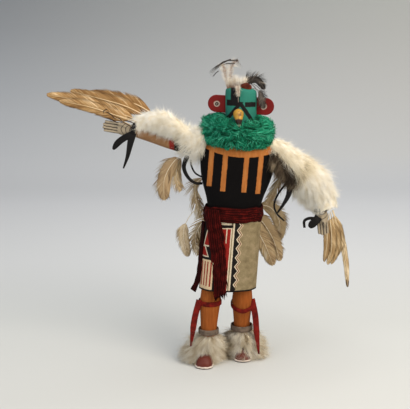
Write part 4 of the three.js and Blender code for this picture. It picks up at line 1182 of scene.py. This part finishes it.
CREST = [
    [(-8.5, 0, 271), (-10, 0, 284), (-13, 0, 293), (-23, 0, 284)],
    [(-5.5, 2, 271.2), (-4.5, 2, 284), (-3.5, 2, 292), (2, 2, 296.5)],
    [(9, 3, 270.5), (13, 3, 276.5), (20, 2, 277.8), (28, 1, 269)],
    [(14.5, -5, 270.5), (21.5, -7, 268), (24.5, -8.5, 259), (26, -8.5, 251)],
    [(1.5, -7, 272), (1.5, -14, 271.6), (1.8, -17.4, 266), (2, -17.6, 257.5)],
]
# Dark threads that bind the wing to the hand, and the pale quills between them
THREADS = [
    [(-95.4, -10, 237.3), (-102.5, -11.5, 241.4), (-107.6, -11.5, 239.2)],
    [(-107, -11.5, 239.4), (-110, -12, 244.6), (-114.8, -12, 242.2)],
    [(-114, -12, 242.2), (-118, -11.5, 248), (-124.8, -10, 248.6)],
    [(-97.5, -11.5, 232.3), (-100.5, -12.5, 238), (-111.7, -12, 240.2)],
    [(-112.5, -10.5, 238.6), (-118.5, -11, 242.4), (-124.2, -9, 242.7)],
    [(-121.5, -9.5, 250.6), (-126.2, -10, 250), (-124.4, -10, 246.2)],
]
QUILLS = [
    [(-94, -10, 239.2), (-105, -10.5, 243.4), (-114, -10.5, 245.6)],
    [(-100, -10.5, 236.4), (-108, -11, 240.2), (-118, -10, 244.6)],
]
for n, (points, width, bare, tones, splits) in enumerate(WINGS["right_wing_feather"]):
    bound = [loose_barbs("wing_threads", THREADS, 2, 0.15, 0.55, -0.1, 6),
             loose_barbs("wing_quills", QUILLS, 1, 0.1, 0.45, 0.95, 6)] if n == 3 else ()
    feather(f"right_wing_feather_{n + 1}", points, width, bare, 4, TAN_FEATHER, "tan_feather", barbs=170,
            sweep=2.4, ragged=0.05, splits=splits, fleck=0.13, tones=tones, extra=bound)
for n, (points, width, bare, tones, splits) in enumerate(WINGS["left_wing_feather"]):
    feather(f"left_wing_feather_{n + 1}", points, width, bare, 3, SANDY_FEATHER, "tan_feather", barbs=90,
            sweep=2.8, ragged=0.03, splits=splits, fleck=0.08, tones=tones,
            marks=(lambda share: -0.75 * (share > 0.88)) if n == 4 else None)
for n, (points, width, tones) in enumerate(TAIL):
    made = {"barbs": 50, "ragged": 0.35, "film": 0.0, "droop": 0.4} if n == 1 else {"barbs": 90, "ragged": 0.05}
    feather(f"tail_feather_{n + 1}", points, width, 0.5 if n == 0 else 0.14, 5, PALE_FEATHER, "pale_feather",
            sweep=1.9, splits=2, cup=0.2, fleck=0.1, tones=tones, **made)
for node, (points, width, bare, made) in PLUMES.items():
    feather(node, points, width, bare, 7, PALE_FEATHER, "pale_feather", **made)

CREST_ARCS = [
    [(2, 0, 296.5), (-12, 0, 298.5), (-22.5, 0, 284.5)], [(-5, 0, 297), (-17, -1, 295), (-24, -1, 281)],
    [(-1, 1, 293), (-13, 1, 294.5), (-19, 1, 287)], [(-16.5, 0, 286), (-19, 0, 284.5), (-22, 0, 280)],
    [(-12, 0, 294), (-20, 0, 291), (-25.5, 0, 283)],
]
CREST_STEMS = [
    [(17, -1, 274), (24, -3, 271), (27.5, -4, 262)], [(20, -1, 275), (26.5, -1, 273), (29, -2, 266)],
    [(14, -3, 275), (20, -6, 270), (24.5, -8, 262)],
]
plume("crest_feather_1", CREST[0], 5.0, 0.1, 320, 1.3, (0.65, 1.0), 0.5, 0.07, 0.6,
      extra=[loose_barbs("crest_arcs", CREST_ARCS)])
plume("crest_feather_2", CREST[1], 6.0, 0.02, 420, 0.8, (0.6, 1.0), 2.5, 0.07,
      marks=lambda share: -0.4 * (share > 0.9))
feather("crest_feather_3", CREST[2], 5.2, 0.1, 5, CREST_VANE, "crest_feather", barbs=130, sweep=2.0, ragged=0.12,
        splits=4, film=0.62, quill=0.3, stem=0.3, tones=(0.02, 0.3), fleck=0.1,
        marks=lambda share: 0.35 * (np.sin(share * 21) > 0.8),
        extra=[loose_barbs("crest_stems", CREST_STEMS, each=5, width=0.15, tone=0.2)])
feather("crest_feather_4", CREST[3], 4.2, 0.3, 4, CREST_VANE, "crest_feather", barbs=80, sweep=1.4, ragged=0.2,
        splits=2, film=0.5, quill=0.25, stem=0.4, tones=(0.15, 0.45), fleck=0.1)
plume("crest_feather_5", CREST[4], 2.8, 0.0, 800, 1.2, (0.6, 0.95), 0.5, end=0.72)


def crest_fluff():
    """The white down bound in with the crest feathers where they leave the head."""
    draw = dice("fluff")
    count = 1500
    root = np.stack([draw.uniform(-8, 9, count), draw.normal(-1, 2.2, count), np.full(count, HEAD_TOP - 0.5)], axis=-1)
    own = locks(draw, root, 90)
    out = np.stack([draw.normal(0, 3.2, count) + 0.25 * root[:, 0], draw.normal(-1, 3, count),
                    draw.uniform(4, 15, count)], axis=-1)
    tip = root + out * 0.45 + out[own] * 0.55
    middle = root + (tip - root) * np.array([0.2, 0.2, 0.75])
    tone = np.clip(draw.uniform(0.55, 1.0, count)[own] + draw.normal(0, 0.1, count), 0, 1)
    parts = [strands(HAIR, root, middle, tip, draw.uniform(0.07, 0.12, count), face=any_side(draw, count), tone=tone)]
    show("crest_fluff_down", parts, CREST_DOWN, "crest_feather_2")


crest_fluff()


# Kilt, sash and belt

def sheet_grid(columns, rows, place, thickness):
    """A cloth from a flat grid. place(u, v) gives millimetres, and u and v are also kept as the piece's UVs."""
    bm = bmesh.new()
    bm.loops.layers.uv.new("cut")
    bmesh.ops.create_grid(bm, x_segments=columns, y_segments=rows, size=1, calc_uvs=True)
    spots = np.array([vert.co[:2] for vert in bm.verts]) * 0.5 + 0.5
    for vert, spot in zip(bm.verts, put(place(spots[:, 0], spots[:, 1]))):
        vert.co = spot
    bmesh.ops.recalc_face_normals(bm, faces=bm.faces)
    bmesh.ops.solidify(bm, geom=bm.faces[:], thickness=thickness * MM)
    return bm


def ring_point(height, angle, wide, deep):
    """Places round the leaning trunk, at half extents of their own."""
    x, y = squarish(TRUNK_SQUARE)(angle)
    return np.stack([trunk_x(height) + wide * x, -deep * y, height], axis=-1)


class Wrap:
    """The way round the dressed trunk, walked in true millimetres from its back, by the left side to the front."""
    start, swept = math.radians(245), math.radians(400)
    angles = np.linspace(start, start - swept, 1200)
    steps = np.hypot(*[np.diff(part * size) for part, size in zip(squarish(TRUNK_SQUARE)(angles), (27.2, 18.6))])
    length = np.concatenate([[0], np.cumsum(steps)])

    @classmethod
    def angle(cls, along):
        return np.interp(along, cls.length, cls.angles)


KILT_AROUND = 156
KILT_TALL = 74
WHITE_LINE = 62.5
TOOTH = 8.9


def kilt_finish():
    """Painted sheep leather, cream and pebbled. On the doll's right it has red and white marks with a toothed edge
    over black, and the black also fills the space round them up under the sash. The hem is lined in black. The pattern
    is laid out in millimetres of the cut piece."""
    material, tree, shader = new_finish("painted_sheep_leather", 0.8, 0.15)
    cut = add(tree, "SeparateXYZ", [add(tree, "UVMap").outputs["UV"]])
    spot = doll_millimetres(tree)
    wander = add(tree, "TexNoise", {"Vector": spot, "Scale": 0.5, "Detail": 2})
    p = add(tree, "Math", {0: cut.outputs[0], 1: KILT_AROUND, 2: -WHITE_LINE - 0.35}, operation="MULTIPLY_ADD")
    p = along_slope(tree, p, 0.7, wander)
    v = add(tree, "Math", {0: cut.outputs[1], 1: KILT_TALL, 2: -0.35}, operation="MULTIPLY_ADD")
    v = along_slope(tree, v, 0.7, wander)
    wave = add(tree, "Math", [add(tree, "Math", [v, 1.5], operation="ADD"), TOOTH / 2], operation="PINGPONG")
    tooth = along_slope(tree, p, -0.72, wave)
    black, white, red = "#15100e", "#cdbda2", "#861b14"

    def box(left, right, low, high):
        return both(tree, band(tree, p, left, right, 0.2), band(tree, v, low, high, 0.2))
    stripes = add(tree, "Math", [add(tree, "Math", [p, 60.0], operation="ADD"), 1.85], operation="PINGPONG")
    step = along_slope(tree, p, 0.5, v)
    triangle = add(tree, "Math", [add(tree, "Math", [p, 26.0], operation="ADD")], operation="ABSOLUTE")
    triangle = along_slope(tree, triangle, 0.25, v)
    layers = [
        # Black over the whole of the doll's right side, under the marks; where they leave it, round the triangle and
        # up under the sash, it is drawn dark.
        (black, box(-44, -1.8, -5, 80)),
        (red, box(-12.5, -2.8, -5, 62.8)),
        (white, box(-2.9, -1.9, -5, 62.8)),
        (white, box(-12.5, -1.9, 62.0, 62.8)),
        (white, box(-7.2, -6.3, 48, 62.8)),
        (black, box(-14, -0.6, 63.4, 65.6)),
        (white, box(-13, -2.6, 65.8, 71.2)),
        (white, both(tree, below(tree, triangle, 16.4, 0.2), box(-40, -17, 43.6, 60))),
        (red, both(tree, below(tree, triangle, 15.2, 0.2), box(-40, -17, 44.9, 60))),
        (white, both(tree, below(tree, step, -6.0, 0.2), box(-44, -17, 33.2, 43.6))),
        (red, both(tree, below(tree, step, -7.2, 0.2), box(-44, -17, 34.3, 43.0))),
        ("#cbb18d", box(-44, -17, -5, 30.6)),
        ("#8c2a1c", both(tree, below(tree, stripes, 0.75, 0.15), box(-44, -17, 4.6, 28.8))),
        (black, both(tree, below(tree, tooth, 2.9, 0.2), band(tree, p, 0.4, 9, 0.2))),
        (black, box(0.4, 2.9, -5, 80)),
        (white, both(tree, band(tree, tooth, 2.9, 3.9, 0.2), above(tree, v, 5.0))),
        ("#5a1d15", both(tree, band(tree, tooth, 3.9, 4.8, 0.2), above(tree, v, 5.0))),
        ("#bda687", both(tree, band(tree, tooth, 4.8, 5.7, 0.2), above(tree, v, 5.0))),
        (white, box(-0.75, 0.65, -5, 80)),
        (black, below(tree, v, 1.5, 0.2)),
    ]
    blotch = add(tree, "TexNoise", {"Vector": spot, "Scale": 0.13, "Detail": 4, "Roughness": 0.6})
    ground = add(tree, "ValToRGB", [blotch], stops=[(0.3, "#6c5e44"), (0.5, "#837456"), (0.75, "#968568")])
    colour = coats(tree, ground, layers)
    pores = add(tree, "TexNoise", {"Vector": spot, "Scale": 1.1, "Detail": 4, "Roughness": 0.7})
    dust = add(tree, "MapRange", [pores, 0.25, 0.75, 0.72, 1.2])
    colour = add(tree, "VectorMath", {0: colour, "Scale": dust}, operation="SCALE")
    wire(tree, shader, colour, pores, 0.0003, 0.5)
    return material


def kilt():
    """The wrap, lapped behind the right hip, with shallow folds that open towards the hem."""
    def place(u, v):
        angle = Wrap.angle(KILT_AROUND * u)
        height = HEM + KILT_TALL * v
        lap = np.clip((u - 0.94) / 0.03, 0, 1) * 0.9
        fold = 0.35 * np.sin(angle * 9 + 2 * v) * (1 - v)
        return ring_point(height, angle, 27.2 - 0.5 * v + lap + fold, 19.1 - 2.0 * v + lap + fold)
    bm = sheet_grid(150, 34, place, 0.9)
    piece = show("kilt_leather", bm, kilt_finish(), "kilt")


BELT_AROUND = 158


def belt():
    """The sash wound round the waist, with the ridges of its turns."""
    def place(u, v):
        along = BELT_AROUND * u
        angle = Wrap.angle(along) - math.radians(40)
        height = BELT_LOW + 1.2 + (BELT_TOP - BELT_LOW - 1) * v + 0.5 * np.sin(along * 0.21 + 1)
        crown = 0.9 * np.sin(math.pi * v) + 0.35 * np.sin(along * 0.5 + 9 * v) + 0.3 * np.sin(along * 0.23 - 14 * v)
        wind = np.abs(np.sin(math.pi * (2.5 * v + 0.3 * np.sin(along * 0.07 + 1))))
        crown = crown + 0.2 - 0.45 * (1 - wind) ** 3
        lap = 0.8 * np.clip((u - 0.95) / 0.03, 0, 1)
        return ring_point(height, angle, 26.9 + crown + lap - 0.4 * v, 18.1 + crown + lap - 0.8 * v)
    bm = sheet_grid(22, 140, lambda across, along: place(along, across), 1.2)
    piece = show("sash_belt_wool", bm, RED_CLOTH, "sash_belt")


belt()
kilt()


def front_of(x, height):
    """How far forward the dressed front stands."""
    wide = np.where(height > BELT_LOW - 1, 29.2, 27.5)
    deep = np.where(height > BELT_LOW - 1, 20.2, 19.7 - (height - HEM) / 67 * 1.9)
    aside = np.clip(np.abs(x - trunk_x(height)) / wide, 0, 0.999)
    return -deep * (1 - aside ** TRUNK_SQUARE) ** (1 / TRUNK_SQUARE)


# The front sash as it hangs: height, middle and half width
SASH = np.array([(69, -14.2, 6.0), (79, -14.3, 6.1), (91.5, -14.4, 6.3), (101.5, -15.2, 6.7), (111, -16.5, 7.2),
                 (123.5, -17.7, 7.6), (133.6, -19, 7.5), (144, -21.3, 7.2), (155.5, -21.8, 6.8)])


def sash_front():
    """The wide end of the sash, rippled and narrower downwards, with a short fringe."""
    draw = dice("sash_front")

    def place(u, v):
        side = 2 * u - 1
        height = SASH[0, 0] + 2 + (SASH[-1, 0] - SASH[0, 0] - 2) * v + 3.0 * side * (1 - v) ** 5
        middle, half = np.interp(height, SASH[:, 0], SASH[:, 1]), np.interp(height, SASH[:, 0], SASH[:, 2])
        x = middle + side * half * (1 + 0.05 * np.sin(height * 0.55)) + 0.3 * np.sin(height * 0.4)
        over = 2.8 * np.clip((height - (BELT_LOW - 9)) / 8, 0, 1) * (height < BELT_LOW - 1)
        ripple = (0.55 * np.sin(7.5 * side + 0.05 * height) + 0.35 * np.sin(14 * side - 0.09 * height)
                  + 0.2 * np.sin(0.5 * height + 3 * side))
        y = front_of(x, np.maximum(height, HEM)) - over - 1.3 - ripple * (1 - 0.5 * v)
        return np.stack([x, y, height], axis=-1)
    bm = sheet_grid(30, 74, place, 1.0)
    piece = show("sash_front_wool", bm, RED_CLOTH, "sash_front")
    count = 30
    u = np.linspace(0.02, 0.98, count)
    root = place(u, np.full(count, 0.01))
    tip = root + np.stack([draw.normal(0.4, 0.8, count), draw.normal(-0.4, 0.6, count),
                           -draw.uniform(2, 6, count)], axis=-1)
    middle = (root + tip) / 2 + draw.normal(0, 0.4, (count, 3))
    fringe = [strands(YARN, root, middle, tip, 0.4, draw.uniform(0, 1, count), blunt=4)]
    trim = show("sash_fringe_wool", fringe, RED_CLOTH, "sash_front")


# Straps, thongs and bands

class Strip:
    """A flat strip along a curve, with rounded edges. half(share) is its half width, and twist its turn."""

    def __init__(self, points, half, thickness, face=FRONT, twist=0.0):
        self.route = Route(points)
        self.half = half
        self.thickness = thickness
        self.face = face
        self.twist = twist

    def surface(self, share, angle, scale=1.0):
        along = self.route.along(share)
        across = unit(np.cross(along, self.face))
        out = np.cross(across, along)
        x, y = squarish(4)(angle)
        cos, sin = np.cos(self.twist * share)[:, None], np.sin(self.twist * share)[:, None]
        across, out = across * cos + out * sin, out * cos - across * sin
        return (self.route.at(share) + across * (self.half(share) * x)[:, None]
                + out * (self.thickness / 2 * y)[:, None])


class Hoop:
    """A strap closed round a limb that runs along: half is its half height, and nod tips its front down."""

    def __init__(self, centre, front, aside, along, radius, thickness, half, nod=0.0):
        self.centre = centre
        self.axes = front, aside, along
        self.radius = radius
        self.thickness = thickness
        self.half = half
        self.nod = nod

    def surface(self, share, angle, scale=1.0):
        turn = (share * 2 * math.pi)[:, None]
        front, aside, along = self.axes
        x, y = squarish(3.5)(angle)
        dip = self.nod * self.radius * np.arcsin(0.98 * np.cos(turn[:, 0])) / 1.37
        return (self.centre + (front * np.cos(turn) + aside * np.sin(turn))
                * (self.radius + self.thickness / 2 * x)[:, None] + along * (self.half * y - dip)[:, None])


def straps(name, node, lofts, material):
    """A piece of strips and hoops: each comes with its sides and its rows, and a hoop's ends are joined."""
    bm = bmesh.new()
    for form, sides, rows in lofts:
        closed = isinstance(form, Hoop)
        loft(bm, form, sides, rows, cap=not closed)
        if closed:
            bmesh.ops.remove_doubles(bm, verts=bm.verts, dist=0.02 * MM)
            bmesh.ops.recalc_face_normals(bm, faces=bm.faces)
    show(name, bm, material, node)


def narrowing(first, last):
    return lambda share: first + (last - first) * share


def leaf_end(wide):
    return lambda share: wide * np.sqrt(1 - 0.92 * np.clip((share - 0.6) / 0.4, 0, 1) ** 2)


sash_front()
SASH_SIDE = Strip([(-30.6, -4, 142), (-32.6, -4.5, 118), (-34.3, -5, 96), (-36.4, -5, 83), (-40.8, -5.5, 72.5)],
                  lambda share: 3.3 + 0.3 * np.sin(share * 40), 1.3, unit(np.array([-1, -0.35, 0])), 0.5)
straps("sash_side_wool", "sash_side", [(SASH_SIDE, 16, 36)], RED_CLOTH)

THONGS = {
    "right_arm_thong_1": ([(-46, -6, 206), (-49.3, -5, 195), (-45, -3, 184.5), (-38, -1.5, 179),
                           (-31.5, 0, 178.6)], narrowing(2.3, 1.2)),
    "right_arm_thong_2": ([(-42.5, -3, 202), (-42, -2.5, 196), (-38.5, -1.5, 189), (-32.5, 0, 185)],
                          narrowing(0.9, 0.8)),
    "left_arm_thong_1": ([(48, -7, 178.5), (41, -6, 168), (38, -5, 158), (40.5, -5, 150), (48, -5, 142.5)],
                         narrowing(1, 0.8)),
    "left_arm_thong_2": ([(53, -9.5, 178), (51, -9, 168), (46, -8.5, 158.5), (41, -8, 151)], narrowing(3.3, 0.8)),
}
for node, (points, half) in THONGS.items():
    straps(node + "_leather", node, [(Strip(points, half, 1.2, twist=0.4), 16, 36)], BLACK_LEATHER)


def leg_hoop(side, low, high, radius, thickness, nod=0.0):
    level = (low + high) / 2
    centre = np.array([*leg_at(side)(np.array(level)), level])
    return Hoop(centre, FRONT, LEFTWARD, UP, radius, thickness, (high - low) / 2, nod), 14, 49


def garter(node, side, low, high, radius, nod, tail):
    """A red band round the leg and its hanging end, which is cut to a point."""
    end = Strip(tail, lambda share: 3.1 * np.where(share < 0.6, 1, 1 - (share - 0.6) / 0.4 * 0.75), 1.2, twist=0.3)
    straps(node + "_leather", node, [(end, 16, 36), leg_hoop(side, low, high, radius, 1.1, nod)],
           RED_LEATHER)


garter("right_garter", RIGHT_LEG, 58.3, 63.2, 11.0, 0.0,
       [(-34.5, -9.4, 64), (-39, -13, 47), (-41, -15.5, 34), (-43, -18.5, 19.5)])
garter("left_garter", LEFT_LEG, 54, 58.2, 11.0, 0.42,
       [(17.6, -0.5, 62.5), (21, -3.2, 46), (22.3, -6.5, 30), (24.6, -10.5, 8.5)])
straps("right_ankle_band_suede", "right_ankle_band", [leg_hoop(RIGHT_LEG, 29.2, 34.8, 9.5, 1.4)],
       GREY_LEATHER)
straps("left_ankle_band_suede", "left_ankle_band", [leg_hoop(LEFT_LEG, 28.6, 34.2, 10.5, 1.4)],
       GREY_LEATHER)


def wrist_tie(node, ring, up, first, second):
    """A thong round the wrist with its two ends. Each end is its points and its half width."""
    start, end = np.array(ring[0]), np.array(ring[1])
    along = unit(end - start)
    across = unit(np.cross(along, up))
    hoop = Hoop((start + end) / 2, across, np.cross(across, along), along, 6.6, 1.2, 2.2)
    straps(node + "_leather", node, [(Strip(*first, 1.4), 16, 36), (hoop, 12, 41), (Strip(*second, 1.4), 16, 30)],
           BLACK_LEATHER)


wrist_tie("right_wrist_tie", [(-95.4, -5.7, 229.4), (-99.4, -6, 230.7)], UP,
          ([(-96.5, -11.4, 227.5), (-104, -12.6, 224.5), (-111, -13.2, 219.5), (-116, -13.2, 213)], leaf_end(3.1)),
          ([(-97.5, -11.4, 228.5), (-100, -12.8, 217), (-102.5, -13.4, 206), (-106.5, -13.4, 195)],
           narrowing(3.9, 0.7)))
wrist_tie("left_wrist_tie", [(83.2, -6.2, 156.5), (83.8, -6.4, 152.5)], LEFTWARD,
          ([(80.5, -11.6, 147.5), (78, -12.6, 144.5), (74.5, -13, 141), (71.5, -13, 137.5)], leaf_end(3.9)),
          ([(77, -12.6, 146.4), (70.5, -13, 146.4), (66.6, -13, 144), (66.8, -13, 137.4)], narrowing(1.6, 1.2)))
CREST_TIE = Tube([(5, -4.5, 271.6), (9.5, -8, 271.2), (13.8, -6, 270.6)],
                 [(2.2, 2.2), (3.6, 3.8), (3.8, 4), (2.6, 2.6)])
lofted("crest_tie_leather", [(CREST_TIE, 24, 16)], TIE_LEATHER, "crest_tie")
